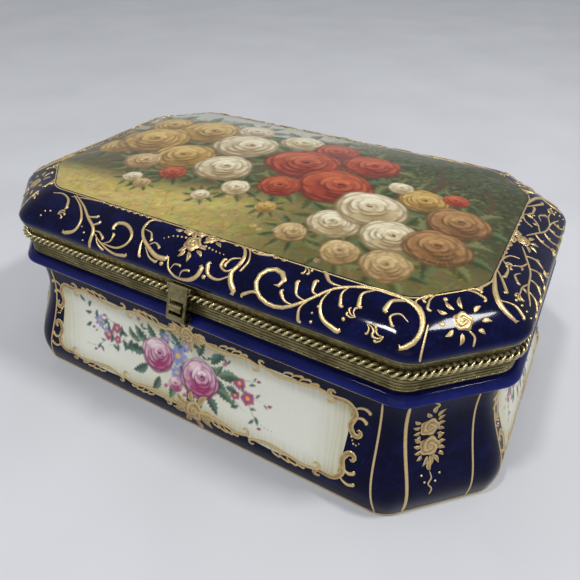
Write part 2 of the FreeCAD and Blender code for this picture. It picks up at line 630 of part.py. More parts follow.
def build_clasp_strap():
    """Sprung strap: an eye rolled round the pin, a window over the catch and a rolled end."""
    body = new_body("clasp_strap")
    sheet_in = size("clasp_sheet")
    eye_in = size("clasp_pin_radius") + size("pin_run_gap")
    eye_out = eye_in + sheet_in
    curl_out = size("curl_radius")
    curl_y = -size("rim_half_width") - size("curl_out")
    curl_z = CLASP_PIN_Z - size("curl_drop")
    width = size("clasp_width")

    # the outer face touches both rolls; its slope follows from their centres and radii
    run = CLASP_PIN_Y.value - curl_y.value
    drop = size("curl_drop").value
    swell = curl_out.value - eye_out.value
    lean = math.atan2(run, drop) + math.asin(swell / math.hypot(run, drop))
    outward = FreeCAD.Vector(-math.cos(lean), math.sin(lean), 0)
    eye = FreeCAD.Vector(CLASP_PIN_Y.value, CLASP_PIN_Z.value, 0)
    curl = FreeCAD.Vector(curl_y.value, curl_z.value, 0)

    band = sketch_on(body, "YZ_Plane", "band_section")
    front = Part.LineSegment(eye + outward * eye_out.value, curl + outward * curl_out.value)
    back = Part.LineSegment(eye + outward * eye_in.value,
                            curl + outward * (curl_out.value - sheet_in.value))
    front_line = band.addGeometry(front, False)
    back_line = band.addGeometry(back, False)
    top = band.addGeometry(Part.LineSegment(front.StartPoint, back.StartPoint), False)
    foot = band.addGeometry(Part.LineSegment(front.EndPoint, back.EndPoint), False)
    for first, end, second, start in ((front_line, 1, top, 1), (top, 2, back_line, 1),
                                      (back_line, 2, foot, 2), (foot, 1, front_line, 2)):
        band.addConstraint(Sketcher.Constraint("Coincident", first, end, second, start))
    for line in (top, foot):
        band.addConstraint(Sketcher.Constraint("Perpendicular", line, front_line))
        hold(band, "Distance", line, length=sheet_in)
    rolls = ((eye, eye_out, CLASP_PIN_Y, CLASP_PIN_Z, 1), (curl, curl_out, curl_y, curl_z, 2))
    for centre, radius, across, up, end in rolls:
        spoke_end = centre + outward * radius.value
        spoke = band.addGeometry(Part.LineSegment(centre, spoke_end), True)
        place_point(band, spoke, 1, across, up)
        band.addConstraint(Sketcher.Constraint("Coincident", spoke, 2, front_line, end))
        band.addConstraint(Sketcher.Constraint("Perpendicular", spoke, front_line))
        hold(band, "Distance", spoke, length=radius)
    pad(body, "band", band, width, centred=True)

    # rolls: rings round both centres, cut open on the side that faces the box
    eye_ring = sketch_on(body, "YZ_Plane", "eye_section")
    circle(eye_ring, (CLASP_PIN_Y, CLASP_PIN_Z), eye_out)
    pad(body, "eye", eye_ring, width, centred=True)
    curl_ring = sketch_on(body, "YZ_Plane", "curl_section")
    circle(curl_ring, (curl_y, curl_z), curl_out)
    pad(body, "curl", curl_ring, width, centred=True)
    for name, centre, radius in (("eye_hole", (CLASP_PIN_Y, CLASP_PIN_Z), eye_in),
                                 ("curl_hole", (curl_y, curl_z), curl_out - sheet_in)):
        hole = sketch_on(body, "YZ_Plane", name + "_section")
        circle(hole, centre, radius)
        pocket(body, name, hole, width * THROUGH, centred=True)
    slit = sketch_on(body, "YZ_Plane", "slit_section")
    rectangle(slit, (curl_y + sheet_in, curl_z), (curl_y + curl_out * 2, curl_z + sheet_in * 2))
    pocket(body, "slit", slit, width * THROUGH, centred=True)
    window = sketch_on(body, "XZ_Plane", "window_section", size("rim_half_width"))
    rectangle(window, (-size("window_width") / 2, CLASP_PIN_Z - size("window_bottom_drop")),
              (size("window_width") / 2, CLASP_PIN_Z - size("window_top_drop")))
    pocket(body, "window", window, size("curl_out") + curl_out * 2, reversed_way=True)


def build_catch_loop():
    """Loop of sheet brass on the base mount, whose nose stands through the strap's window."""
    body = new_body("catch_loop")
    axis_y = -size("rim_half_width") - size("catch_out")
    axis_z = CLASP_PIN_Z - size("catch_drop")
    radius, sheet_in = size("catch_radius"), size("catch_sheet")
    back = -LEAF_BACK
    width = size("catch_width")
    nose = sketch_on(body, "YZ_Plane", "nose_section")
    circle(nose, (axis_y, axis_z), radius)
    pad(body, "nose", nose, width, centred=True)
    legs = sketch_on(body, "YZ_Plane", "leg_section")
    rectangle(legs, (axis_y, axis_z - radius), (back, axis_z + radius))
    pad(body, "legs", legs, width, centred=True)
    feet = sketch_on(body, "YZ_Plane", "foot_section")
    spread = radius + size("catch_foot")
    rectangle(feet, (back - sheet_in, axis_z - spread), (back, axis_z + radius))
    pad(body, "feet", feet, width, centred=True)
    inside = sketch_on(body, "YZ_Plane", "inside_section")
    circle(inside, (axis_y, axis_z), radius - sheet_in)
    pocket(body, "inside", inside, width * THROUGH, centred=True)
    throat = sketch_on(body, "YZ_Plane", "throat_section")
    rectangle(throat, (axis_y, axis_z - radius + sheet_in),
              (back - sheet_in, axis_z + radius - sheet_in))
    pocket(body, "throat", throat, width * THROUGH, centred=True)


def build_all():
    """Every piece of the box."""
    build_base_bowl()
    build_base_mount()
    build_cement("base_cement", BASE_NECK_IN, (BASE_NECK_TOP, PARTING - size("mount_sheet")),
                 size("shoulder_top_height"), PARTING - size("mount_inner_drop"))
    build_catch_loop()
    build_hinge_leaf("hinge_base_leaf", False, 0, (KNUCKLES + 1) // 2)
    build_hinge_pin()
    build_lid_shell()
    build_lid_mount()
    build_cement("lid_cement", LID_NECK_IN,
                 (LID_NECK_FOOT, LID_MOUNT_FOOT + size("mount_sheet")),
                 LID_EDGE, LID_MOUNT_FOOT + size("mount_inner_drop"))
    build_lid_rope()
    build_hinge_leaf("hinge_lid_leaf", True, 1, KNUCKLES // 2)
    build_clasp_bracket()
    build_clasp_pin()
    build_clasp_strap()


def write_parts():
    """Check every object, then write one STEP file for each body."""
    doc.recompute()
    for item in doc.Objects:
        if "Invalid" in item.State or "Error" in item.State:
            raise RuntimeError("%s did not recompute: %s" % (item.Label, item.State))
    os.makedirs("parts", exist_ok=True)
    for item in doc.Objects:
        if item.TypeId != "PartDesign::Body":
            continue
        if item.Shape.isNull() or not item.Shape.isValid() or item.Shape.Volume <= 0:
            raise RuntimeError("%s has no valid shape" % item.Label)
        item.Shape.exportStep(os.path.join("parts", item.Label + ".step"))


build_all()
write_parts()
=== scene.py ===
"""Porcelain trinket box: glazed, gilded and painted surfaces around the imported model."""
import math

import bmesh
import bpy
import numpy as np
from bpy.props import FloatProperty, FloatVectorProperty, IntProperty, PointerProperty
from mathutils import Matrix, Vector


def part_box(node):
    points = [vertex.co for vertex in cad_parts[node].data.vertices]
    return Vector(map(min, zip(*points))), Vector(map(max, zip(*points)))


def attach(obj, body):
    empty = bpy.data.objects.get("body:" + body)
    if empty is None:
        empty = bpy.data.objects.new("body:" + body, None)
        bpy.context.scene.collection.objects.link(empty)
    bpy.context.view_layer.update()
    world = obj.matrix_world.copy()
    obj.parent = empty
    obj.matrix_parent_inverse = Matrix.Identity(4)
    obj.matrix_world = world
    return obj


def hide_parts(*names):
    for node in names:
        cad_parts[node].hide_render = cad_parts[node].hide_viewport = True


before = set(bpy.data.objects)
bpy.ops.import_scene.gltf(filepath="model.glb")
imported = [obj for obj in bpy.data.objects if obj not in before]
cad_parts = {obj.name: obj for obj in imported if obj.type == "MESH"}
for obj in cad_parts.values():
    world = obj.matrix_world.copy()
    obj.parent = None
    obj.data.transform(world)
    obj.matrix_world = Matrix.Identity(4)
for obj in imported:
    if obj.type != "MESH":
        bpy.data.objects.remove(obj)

bl_info = {
    "name": "Porcelain Trinket Box",
    "version": (1, 0, 0),
    "blender": (4, 5, 0),
    "location": "View3D > Sidebar > Trinket Box",
    "description": "Glazed, gilded and painted surfaces of a mounted porcelain trinket box",
    "category": "Add Mesh",
}

MM = 0.001
FACES = 8
TURN = math.pi / 4
ROOT2 = math.sqrt(2.0)
ROPE_LOW, ROPE_HIGH = (np.array(corner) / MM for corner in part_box("lid_rope"))
BASE_MOUNT_LOW = np.array(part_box("base_mount")[0]) / MM
LID_MOUNT_HIGH = np.array(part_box("lid_mount")[1]) / MM
HINGE_HALF = float(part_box("hinge_pin")[1][0]) / MM
ROPE_RADIUS = float(ROPE_HIGH[2] - ROPE_LOW[2]) / 2
RIM_LENGTH = float(ROPE_HIGH[0]) - ROPE_RADIUS
RIM_WIDTH = -float(ROPE_LOW[1]) - ROPE_RADIUS
ROPE_LEVEL = float(ROPE_LOW[2]) + ROPE_RADIUS
SHOULDER_TOP = float(BASE_MOUNT_LOW[2])
LID_EDGE = float(LID_MOUNT_HIGH[2])


# ---- sizes and colours that can be changed -----------------------------------------------------
class OutlineSizes(bpy.types.PropertyGroup):
    """Plan of the box."""
    corner_cut: FloatProperty(name="Corner Cut", description="Length cut off each side at a corner",
                              default=30 * MM, unit="LENGTH")
    corner_radius: FloatProperty(name="Corner Radius", description="Rounding beside a cut corner",
                                 default=13 * MM, unit="LENGTH")


class GlazeSettings(bpy.types.PropertyGroup):
    """Colours of the porcelain."""
    cobalt: FloatVectorProperty(name="Cobalt", description="Cobalt ground under the glaze",
                                default=(0.0014, 0.0015, 0.017), subtype="COLOR")
    # paler cobalt: random thin patches, and the painted highlight band on the roundings
    cobalt_thin: FloatVectorProperty(name="Thin Cobalt",
                                     description="Cobalt where the glaze runs thin",
                                     default=(0.012, 0.019, 0.155), subtype="COLOR")
    porcelain: FloatVectorProperty(name="Porcelain",
                                   description="White porcelain of reserves and inside",
                                   default=(0.755, 0.755, 0.66), subtype="COLOR")
    roughness: FloatProperty(name="Glaze Roughness", description="Roughness of the fired glaze",
                             default=0.07, min=0.0, max=1.0, subtype="FACTOR")


class GiltSettings(bpy.types.PropertyGroup):
    """Raised gilding on the glaze."""
    bright: FloatVectorProperty(name="Burnished Gold",
                                description="Burnished crests of the gilding",
                                default=(0.70, 0.535, 0.255), subtype="COLOR")
    # the brownish matte gold is partly painted shade in the hollows
    matte: FloatVectorProperty(name="Matte Gold", description="Brownish gold in the hollows",
                               default=(0.27, 0.155, 0.066), subtype="COLOR")
    relief: FloatProperty(name="Relief", description="Height of the raised gilding",
                          default=0.34 * MM, unit="LENGTH")
    boldness: FloatProperty(name="Boldness",
                            description="Width of the ornament against its drawing",
                            default=1.0, min=0.1)
    line_width: FloatProperty(name="Line Width",
                              description="Width of the gilt lines round the wall",
                              default=1.5 * MM, unit="LENGTH")


class BrassSettings(bpy.types.PropertyGroup):
    """Worn gilt brass of the mounts."""
    metal: FloatVectorProperty(name="Brass", description="Metal where it is rubbed bright",
                               default=(0.40, 0.345, 0.18), subtype="COLOR")
    patina: FloatVectorProperty(name="Patina", description="Dull metal in the hollows",
                                default=(0.105, 0.085, 0.034), subtype="COLOR")
    rope_lay: FloatProperty(name="Rope Lay",
                            description="Length of one full turn of the rope moulding",
                            default=5.8 * MM, unit="LENGTH")


class PaintSettings(bpy.types.PropertyGroup):
    """Fineness and seed of the enamel paintings."""
    step: FloatProperty(name="Paint Step", description="Spacing of the painted points",
                        default=0.36 * MM, unit="LENGTH")
    seed: IntProperty(name="Brush Seed", description="Seed of the brush strokes", default=7)


class StageSettings(bpy.types.PropertyGroup):
    """Floor, daylight, lamps and camera."""
    floor: FloatVectorProperty(name="Floor", description="Colour of the pale floor",
                               default=(0.60, 0.607, 0.63), subtype="COLOR")
    lens: FloatProperty(name="Lens", description="Focal length of the camera in millimetres",
                        default=33.33, min=1.0)
    window: FloatProperty(name="Window Lamp", description="Power of the window on the right",
                          default=5.5, unit="POWER")
    ceiling: FloatProperty(name="Ceiling Lamp", description="Power of the lamp overhead",
                           default=3.8, unit="POWER")
    fill: FloatProperty(name="Fill Lamp", description="Power of the soft fill in front",
                        default=1.8, unit="POWER")
    daylight: FloatProperty(name="Daylight", description="Strength of the even light all round",
                            default=0.63, min=0.0)


GROUPS = (
    ("trinket_outline", OutlineSizes),
    ("trinket_glaze", GlazeSettings),
    ("trinket_gilt", GiltSettings),
    ("trinket_brass", BrassSettings),
    ("trinket_paint", PaintSettings),
    ("trinket_stage", StageSettings),
)


def settings(name):
    """One property group of the scene."""
    return getattr(bpy.context.scene, "trinket_" + name)


# ---- the outline in plan -----------------------------------------------------------------------
# distance outside the rim line and height, from the foot up to the gilt line
WALL_SECTION = ((5.2, 0.0), (6.6, 10.5), (1.6, 26.0), (-3.0, 43.0), (-2.4, 55.0))
# the shoulder that rolls out under the base mount, and the neck inside both mounts
ROLL_SECTION = ((-2.4, 55.0), (2.4, 58.3), (0.3, SHOULDER_TOP))
ROLL_LEVEL, ROLL_SPREAD = 58.2, 2.4
NECK_OUT = -2.8
BOX_NECK_IN, BOX_NECK_TOP = -7.3, SHOULDER_TOP + 6.2
LID_NECK_IN, LID_NECK_FOOT = -6.8, LID_EDGE - 6.15
# inside of the lower box, from the top of its neck down to the flat of the floor
INSIDE_SECTION = ((BOX_NECK_IN, BOX_NECK_TOP), (BOX_NECK_IN, SHOULDER_TOP),
                  (-7.5, SHOULDER_TOP - 3.0),
                  (-7.5, 43.0), (-3.0, 26.0), (-2.9, 12.5), (-4.1, 9.1), (-9.9, 7.5))
# the hollow under the floor, and the unglazed ring that the box stands on
RECESS_OUT, RECESS_HEIGHT = (-1.8, -1.5, -1.2), (2.5, 2.2, 0.35)
FOOT_OUT, FOOT_HEIGHT = (-0.7, 1.9, 4.3, 5.0), (0.0, 0.0, 0.0, 0.1)
# distance outside the rim line and height above the lid's lower edge
LID_SECTION = ((0.5, 0.0), (0.9, 1.9), (-1.7, 5.8), (-7.6, 9.6), (-16.5, 12.6))
# half length, half width, corner cut, corner radius and rise of the rings on the dome
DOME_RINGS = ((62.0, 35.0, 16.0, 18.0, 15.9), (20.0, 11.0, 6.0, 8.0, 17.6))
LID_STEPS = 18
WALL_STEPS, ROLL_STEPS, INSIDE_STEPS, BAND_STEPS = 26, 14, 10, 6
FLOOR_RINGS, RECESS_RINGS, CROWN_RINGS = 14, 10, 8
LID_WALL = 4.0
# inside of the lid, from the foot of its neck up into the cove
LID_INSIDE = ((LID_NECK_IN, LID_NECK_FOOT), (LID_NECK_IN, LID_EDGE + 1.9), (-11.6, LID_EDGE + 5.6),
              (-20.5, LID_EDGE + 8.6))
LID_INSIDE_STEPS = 12
BORDER_ROW = (len(LID_SECTION) - 1) * LID_STEPS


def natural_spline(points, steps, across=(0, 1)):
    """Points on the natural cubic spline through a table of rows.

    Between rows i and i+1, h apart, the curve is p + b t + c t^2 + d t^3, where the second
    derivatives m solve h0 m0 + 2 (h0 + h1) m1 + h1 m2 = 6 (slope1 - slope0) and end at zero.
    """
    rows = np.asarray(points, float)
    gaps = np.sqrt((np.diff(rows[:, list(across)], axis=0) ** 2).sum(1))
    count = len(rows)
    matrix = np.eye(count)
    right = np.zeros_like(rows)
    slopes = np.diff(rows, axis=0) / gaps[:, None]
    inner = np.arange(1, count - 1)
    matrix[inner, inner - 1] = gaps[:-1]
    matrix[inner, inner] = 2 * (gaps[:-1] + gaps[1:])
    matrix[inner, inner + 1] = gaps[1:]
    right[1:-1] = 6 * np.diff(slopes, axis=0)
    bend = np.linalg.solve(matrix, right)
    part = np.linspace(0, 1, steps, endpoint=False)[None, :, None] * gaps[:, None, None]
    slope = slopes - gaps[:, None] * (2 * bend[:-1] + bend[1:]) / 6
    cubic = (rows[:-1, None] + slope[:, None] * part + bend[:-1, None] / 2 * part ** 2
             + (bend[1:] - bend[:-1])[:, None] / (6 * gaps[:, None, None]) * part ** 3)
    return np.vstack([cubic.reshape(-1, rows.shape[1]), rows[-1:]])


def corner_reach(length, width, cut):
    """Distance from the centre to a cut corner's face: (length + width - cut) / root 2."""
    return (length + width - cut) / ROOT2


def rim_rings(out, height, radius=None):
    """Rows of (length, width, corner reach, corner radius, height) outside the rim line."""
    plan = settings("outline")
    out, height = np.broadcast_arrays(np.asarray(out, float), height)
    corner = corner_reach(RIM_LENGTH, RIM_WIDTH, plan.corner_cut / MM)
    radius = plan.corner_radius / MM if radius is None else radius
    return np.stack([RIM_LENGTH + out, RIM_WIDTH + out, corner + out,
                     np.broadcast_to(radius, out.shape), height], -1)


def ring_columns(straight=(44, 14, 28), arc=9):
    """Where each column of a ring lies: its face and its shares of the straight and of the arc."""
    face, along, bend = [], [], []
    for index in range(FACES):
        count = (straight[0], straight[1], straight[2], straight[1])[index % 4]
        face.append(np.full(count + arc, index))
        along.append(np.concatenate([np.linspace(0, 1, count, endpoint=False), np.ones(arc)]))
        bend.append(np.concatenate([np.zeros(count), np.linspace(0, 1, arc, endpoint=False)]))
    return np.concatenate(face), np.concatenate(along), np.concatenate(bend)


def ring_grid(rings, columns):
    """Points of rounded octagons: rows are rings, columns run counter-clockwise.

    A straight is n r + t x, with x from the foot of one rounding to the next; a rounding is the
    arc of its radius about n (r - radius) + t x_end, turned by up to an eighth of a circle.
    """
    face, along, bend = columns
    rings = np.asarray(rings, float)
    reach = rings[:, [1, 2, 0, 2]][:, np.arange(FACES) % 4]
    near, here, far = reach[:, face - 1], reach[:, face], reach[:, (face + 1) % FACES]
    radius = rings[:, 3:4]
    trim = radius * math.tan(TURN / 2)
    start = -(near - here / ROOT2) * ROOT2 + trim
    end = (far - here / ROOT2) * ROOT2 - trim
    turn = TURN * face - math.pi / 2
    across = start + (end - start) * along
    inner = here - radius
    swing = turn + bend * TURN
    x = inner * np.cos(turn) - across * np.sin(turn) + radius * np.cos(swing)
    y = inner * np.sin(turn) + across * np.cos(turn) + radius * np.sin(swing)
    return np.stack([x, y, np.broadcast_to(rings[:, 4:5], x.shape)], -1)


class Section:
    """An upright section of the wall or the lid, measured along its own length."""

    def __init__(self, rows):
        self.out, self.height = rows[:, 0], rows[:, 1]
        step = np.hypot(np.diff(self.out), np.diff(self.height))
        self.length = np.concatenate([[0.0], np.cumsum(step)])
        self.lean_out = np.gradient(self.height, self.length)
        self.lean_up = -np.gradient(self.out, self.length)

    def at(self, rise):
        """Distance outside the rim, height and the two parts of the normal at a length."""
        return [np.interp(rise, self.length, value)
                for value in (self.out, self.height, self.lean_out, self.lean_up)]

    def ring(self, rise, lift, columns):
        """Rings right round the box at lengths along the section, lifted off the surface."""
        out, height, lean_out, lean_up = self.at(np.asarray(rise, float))
        radius = settings("outline").corner_radius / MM
        return ring_grid(rim_rings(out + lean_out * lift, height + lean_up * lift,
                                   radius + lean_out * lift), columns)


class Chart:
    """One face of the box unrolled: x along the face from its middle, s up the section.

    Past the end of the straight, x goes on round the rounding and along the next face.
    """

    def __init__(self, face, section, start=0.0):
        self.face = face
        self.section = section
        self.start = start

    def at(self, x, s, lift=0.0):
        """Points of the chart, lifted along the surface normal."""
        x, s, lift = np.broadcast_arrays(np.asarray(x, float) + self.start, s, lift)
        out, height, lean_out, lean_up = self.section.at(s)
        rings = rim_rings(out, height)
        reach = rings[..., [1, 2, 0, 2]]
        near, here, far = (reach[..., (self.face + turn) % 4] for turn in (-1, 0, 1))
        radius = rings[..., 3]
        middle = (far - near) / ROOT2
        straight = (far + near) / ROOT2 - here - radius * math.tan(TURN / 2)
        over = np.maximum(np.abs(x) - straight, 0.0)
        swing = np.minimum(over / radius, TURN)
        past = np.maximum(over - radius * TURN, 0.0)
        side = np.sign(x)
        inner = here - radius
        across = side * np.minimum(np.abs(x), straight)
        normal_out = np.cos(swing)
        normal_across = side * np.sin(swing)
        depth = inner + radius * normal_out - past * np.sin(swing) + lean_out * lift * normal_out
        across = (middle + across + radius * normal_across + side * past * np.cos(swing)
                  + lean_out * lift * normal_across)
        turn = TURN * self.face - math.pi / 2
        return np.stack([depth * math.cos(turn) - across * math.sin(turn),
                         depth * math.sin(turn) + across * math.cos(turn),
                         height + lean_up * lift], -1)


    def shifted(self, across):
        """The same chart with its x counted from another place."""
        return Chart(self.face, self.section, self.start + across)


# ---- meshes ------------------------------------------------------------------------------------
class Pile:
    """Grids gathered into one mesh, with a tone for every vertex."""

    def __init__(self):
        self.points, self.quads, self.tones, self.slots = [], [], [], []
        self.count = 0

    def grid(self, points, tone=0.0, around=False, slot=0):
        """Add a grid of points; columns run to the right and rows up, seen from outside."""
        rows, columns = points.shape[:2]
        index = np.arange(rows * columns).reshape(rows, columns) + self.count
        right = np.roll(index, -1, axis=1) if around else index[:, 1:]
        left = index if around else index[:, :-1]
        quads = np.stack([left[:-1], right[:-1], right[1:], left[1:]], -1).reshape(-1, 4)
        self.points.append(points.reshape(-1, 3))
        self.quads.append(quads)
        self.tones.append(np.broadcast_to(tone, (rows, columns)).ravel())
        self.slots.append(np.full(len(quads), slot))
        self.count += rows * columns

    def mesh(self, name, materials, colours=None, merge=False):
        """Make the object, in metres, with smooth faces and no loose seam."""
        data = bpy.data.meshes.new(name)
        points = np.concatenate(self.points) * MM
        quads = np.concatenate(self.quads)
        data.vertices.add(len(points))
        data.vertices.foreach_set("co", points.astype(np.float32).ravel())
        data.loops.add(quads.size)
        data.loops.foreach_set("vertex_index", quads.astype(np.int32).ravel())
        data.polygons.add(len(quads))
        data.polygons.foreach_set("loop_start", np.arange(0, quads.size, 4, dtype=np.int32))
        data.polygons.foreach_set("material_index", np.concatenate(self.slots).astype(np.int32))
        data.update(calc_edges=True)
        data.polygons.foreach_set("use_smooth", np.ones(len(quads), bool))
        if colours is None:
            tone = data.attributes.new("tone", "FLOAT", "POINT")
            tone.data.foreach_set("value", np.concatenate(self.tones).astype(np.float32))
        else:
            paint = data.attributes.new("paint", "FLOAT_COLOR", "POINT")
            opaque = np.concatenate([colours, np.ones((len(colours), 1))], 1)
            paint.data.foreach_set("color", opaque.astype(np.float32).ravel())
        for material in materials:
            data.materials.append(material)
        if merge:
            work = bmesh.new()
            work.from_mesh(data)
            bmesh.ops.remove_doubles(work, verts=work.verts, dist=1e-7)
            work.to_mesh(data)
            work.free()
        item = bpy.data.objects.new(name, data)
        bpy.context.scene.collection.objects.link(item)
        return item


# ---- node materials ----------------------------------------------------------------------------
class Nodes:
    """A small helper that adds and links shader nodes."""

    def __init__(self, name):
        self.material = bpy.data.materials.new(name)
        self.material.use_nodes = True
        self.tree = self.material.node_tree
        self.shader = self.tree.nodes["Principled BSDF"]

    def add(self, kind, links=None, **values):
        """A node with its settings, constants and links to its inputs."""
        node = self.tree.nodes.new(kind)
        for key, value in values.items():
            setattr(node, key, value)
        for socket, source in (links or {}).items():
            self.put(node.inputs[socket], source)
        return node

    def put(self, socket, source):
        """Link a socket, or set its constant."""
        if isinstance(source, bpy.types.NodeSocket):
            self.tree.links.new(source, socket)
        else:
            socket.default_value = source

    def place(self, scale=(1.0, 1.0, 1.0)):
        """Object coordinates, scaled."""
        coordinates = self.add("ShaderNodeTexCoord").outputs["Object"]
        mapping = self.add("ShaderNodeMapping", {"Vector": coordinates})
        mapping.inputs["Scale"].default_value = scale
        return mapping.outputs["Vector"]

    def noise(self, scale, detail=3.0, rough=0.55, vector=None, low=0.35, high=0.65):
        """Noise spread from 0 to 1 between two of its values."""
        noise = self.add("ShaderNodeTexNoise", {"Vector": vector or self.place()})
        noise.inputs["Scale"].default_value = scale
        noise.inputs["Detail"].default_value = detail
        noise.inputs["Roughness"].default_value = rough
        spread = self.add("ShaderNodeMapRange", {"Value": noise.outputs["Fac"]})
        spread.inputs["From Min"].default_value = low
        spread.inputs["From Max"].default_value = high
        return spread.outputs["Result"]

    def mix(self, share, first, second):
        """Two colours mixed by a share."""
        mix = self.add("ShaderNodeMix", data_type="RGBA")
        for socket, source in ((mix.inputs[0], share), (mix.inputs[6], first),
                               (mix.inputs[7], second)):
            self.put(socket, source)
        return mix.outputs[2]

    def ramp(self, value, low, high):
        """A value moved to a new range."""
        spread = self.add("ShaderNodeMapRange", {"Value": value})
        spread.inputs["To Min"].default_value = low
        spread.inputs["To Max"].default_value = high
        return spread.outputs["Result"]

    def bump(self, height, strength, distance):
        """Relief from a height value."""
        bump = self.add("ShaderNodeBump", {"Height": height})
        bump.inputs["Strength"].default_value = strength
        bump.inputs["Distance"].default_value = distance
        self.put(self.shader.inputs["Normal"], bump.outputs["Normal"])

    def finish(self, **constants):
        """Constants on the shader's own sockets."""
        for name, value in constants.items():
            self.shader.inputs[name.replace("_", " ")].default_value = value
        return self.material


def opaque(colour):
    """A colour with full alpha."""
    return (*colour, 1.0)


def cobalt_glaze():
    """Cobalt ground, blotched at random under a clear glaze, with a lighter streaked band on the
    roundings as a painted highlight.
    """
    look = settings("glaze")
    make = Nodes("cobalt_glaze")
    blotch = make.noise(140.0, 4.0, 0.6, low=0.46, high=0.68)
    speck = make.noise(900.0, 2.0, 0.5, low=0.58, high=0.75)
    ground = make.mix(make.ramp(blotch, 0.0, 0.15), opaque(look.cobalt), opaque(look.cobalt_thin))
    tone = make.add("ShaderNodeAttribute", attribute_name="tone").outputs["Fac"]
    streak = make.noise(60.0, 4.0, 0.65, vector=make.place(scale=(1.0, 1.0, 7.0)), low=0.42,
                        high=0.66)
    # painted highlight: where the tone is high, a paler streaked blue covers the ground
    streaked_highlight = make.mix(make.ramp(streak, 0.0, 0.55), opaque(look.cobalt_thin), opaque(look.cobalt))
    thin = make.mix(tone, ground, streaked_highlight)
    lit = make.mix(make.ramp(speck, 0.0, 0.25), thin, (0.012, 0.020, 0.13, 1.0))
    make.put(make.shader.inputs["Base Color"], lit)
    make.bump(make.noise(55.0, 2.0, 0.4), 0.10, 0.0006)
    return make.finish(Roughness=look.roughness, IOR=1.38, Specular_IOR_Level=0.15)


def white_porcelain():
    """White glazed inside of the box, faintly clouded."""
    look = settings("glaze")
    make = Nodes("white_porcelain")
    cloud = make.noise(35.0, 4.0, 0.6)
    warm = tuple(value * share for value, share in zip(look.porcelain, (0.97, 0.95, 0.88)))
    make.put(make.shader.inputs["Base Color"],
             make.mix(cloud, opaque(look.porcelain), opaque(warm)))
    make.bump(make.noise(60.0, 2.0, 0.4), 0.08, 0.0006)
    return make.finish(Roughness=0.12, IOR=1.5, Coat_Weight=0.5, Coat_Roughness=0.04)


def bare_porcelain():
    """Unglazed foot ring: matte, slightly stained."""
    make = Nodes("bare_porcelain")
    stain = make.noise(120.0, 5.0, 0.65)
    make.put(make.shader.inputs["Base Color"],
             make.mix(stain, (0.62, 0.59, 0.52, 1.0), (0.47, 0.43, 0.36, 1.0)))
    make.bump(make.noise(1600.0, 3.0, 0.6), 0.35, 0.0001)
    return make.finish(Roughness=0.75)


def enamel_paint():
    """Enamel painting under the clear glaze; its colours come from the painted attribute."""
    make = Nodes("enamel_paint")
    paint = make.add("ShaderNodeAttribute", attribute_name="paint").outputs["Color"]
    crackle = make.noise(260.0, 3.0, 0.6, low=0.3, high=0.7)
    shade = make.mix(make.ramp(crackle, 0.0, 0.05), paint, (0.35, 0.28, 0.17, 1.0))
    make.put(make.shader.inputs["Base Color"], shade)
    make.bump(make.noise(70.0, 2.0, 0.4), 0.07, 0.0006)
    return make.finish(Roughness=0.12, IOR=1.40, Specular_IOR_Level=0.25)


def raised_gold():
    """Raised gilding: bright burnished crests, and matte gold in the hollows, darkened to brown
    there as painted shade.
    """
    look = settings("gilt")
    make = Nodes("raised_gold")
    tone = make.add("ShaderNodeAttribute", attribute_name="tone").outputs["Fac"]
    worn = make.noise(420.0, 4.0, 0.65)
    hollow = make.mix(make.ramp(worn, 0.0, 0.5), opaque(look.matte), opaque(look.bright))
    # painted light and shade: the tone gives bright gold on the crests and brown matte gold where
    # the relief dips
    gold = make.mix(tone, hollow, opaque(look.bright))
    rubbed = make.mix(make.ramp(make.noise(1500.0, 2.0, 0.6, low=0.5, high=0.72), 0.0, 0.3),
                      gold, (0.30, 0.17, 0.07, 1.0))
    make.put(make.shader.inputs["Base Color"], rubbed)
    make.put(make.shader.inputs["Roughness"], make.ramp(worn, 0.24, 0.42))
    make.bump(make.noise(1100.0, 3.0, 0.6), 0.30, 0.00012)
    return make.finish(Metallic=0.72, IOR=1.5)


def worn_brass(name="worn_brass", grain=(1.0, 1.0, 1.0)):
    """Worn gilt brass: rubbed metal with duller patches and fine scratches."""
    look = settings("brass")
    make = Nodes(name)
    cloud = make.noise(110.0, 5.0, 0.65, low=0.4, high=0.66)
    fine = make.noise(900.0, 4.0, 0.6, vector=make.place(scale=grain), low=0.4, high=0.62)
    dull = make.mix(make.ramp(cloud, 0.15, 0.85), opaque(look.metal), opaque(look.patina))
    base = make.mix(make.ramp(fine, 0.0, 0.40), dull, opaque(look.patina))
    make.put(make.shader.inputs["Base Color"], base)
    make.put(make.shader.inputs["Roughness"], make.ramp(cloud, 0.26, 0.46))
    make.bump(fine, 0.28, 0.00015)
    return make.finish(Metallic=1.0)


def bright_rope():
    """Brass rope moulding: bright crests, and dark grooves from the tone of the strands, painted as
    shade between them.
    """
    look = settings("brass")
    make = Nodes("brass_rope")
    tone = make.add("ShaderNodeAttribute", attribute_name="tone").outputs["Fac"]
    worn = make.noise(500.0, 3.0, 0.6)
    crest = make.mix(make.ramp(worn, 0.0, 0.35), (0.66, 0.56, 0.30, 1.0), opaque(look.metal))
    # painted shade: near-black brass where the tone is low, in the grooves between the strands
    base = make.mix(tone, (0.085, 0.064, 0.022, 1.0), crest)
    make.put(make.shader.inputs["Base Color"], base)
    make.put(make.shader.inputs["Roughness"], make.ramp(worn, 0.22, 0.38))
    make.bump(worn, 0.15, 0.0001)
    return make.finish(Metallic=1.0)


def cement_plaster():
    """Matte cement between the mounts and the porcelain."""
    make = Nodes("cement_plaster")
    lump = make.noise(300.0, 5.0, 0.7)
    make.put(make.shader.inputs["Base Color"],
             make.mix(lump, (0.66, 0.62, 0.54, 1.0), (0.48, 0.44, 0.37, 1.0)))
    make.bump(make.noise(2200.0, 4.0, 0.7), 0.6, 0.0002)
    return make.finish(Roughness=0.9)


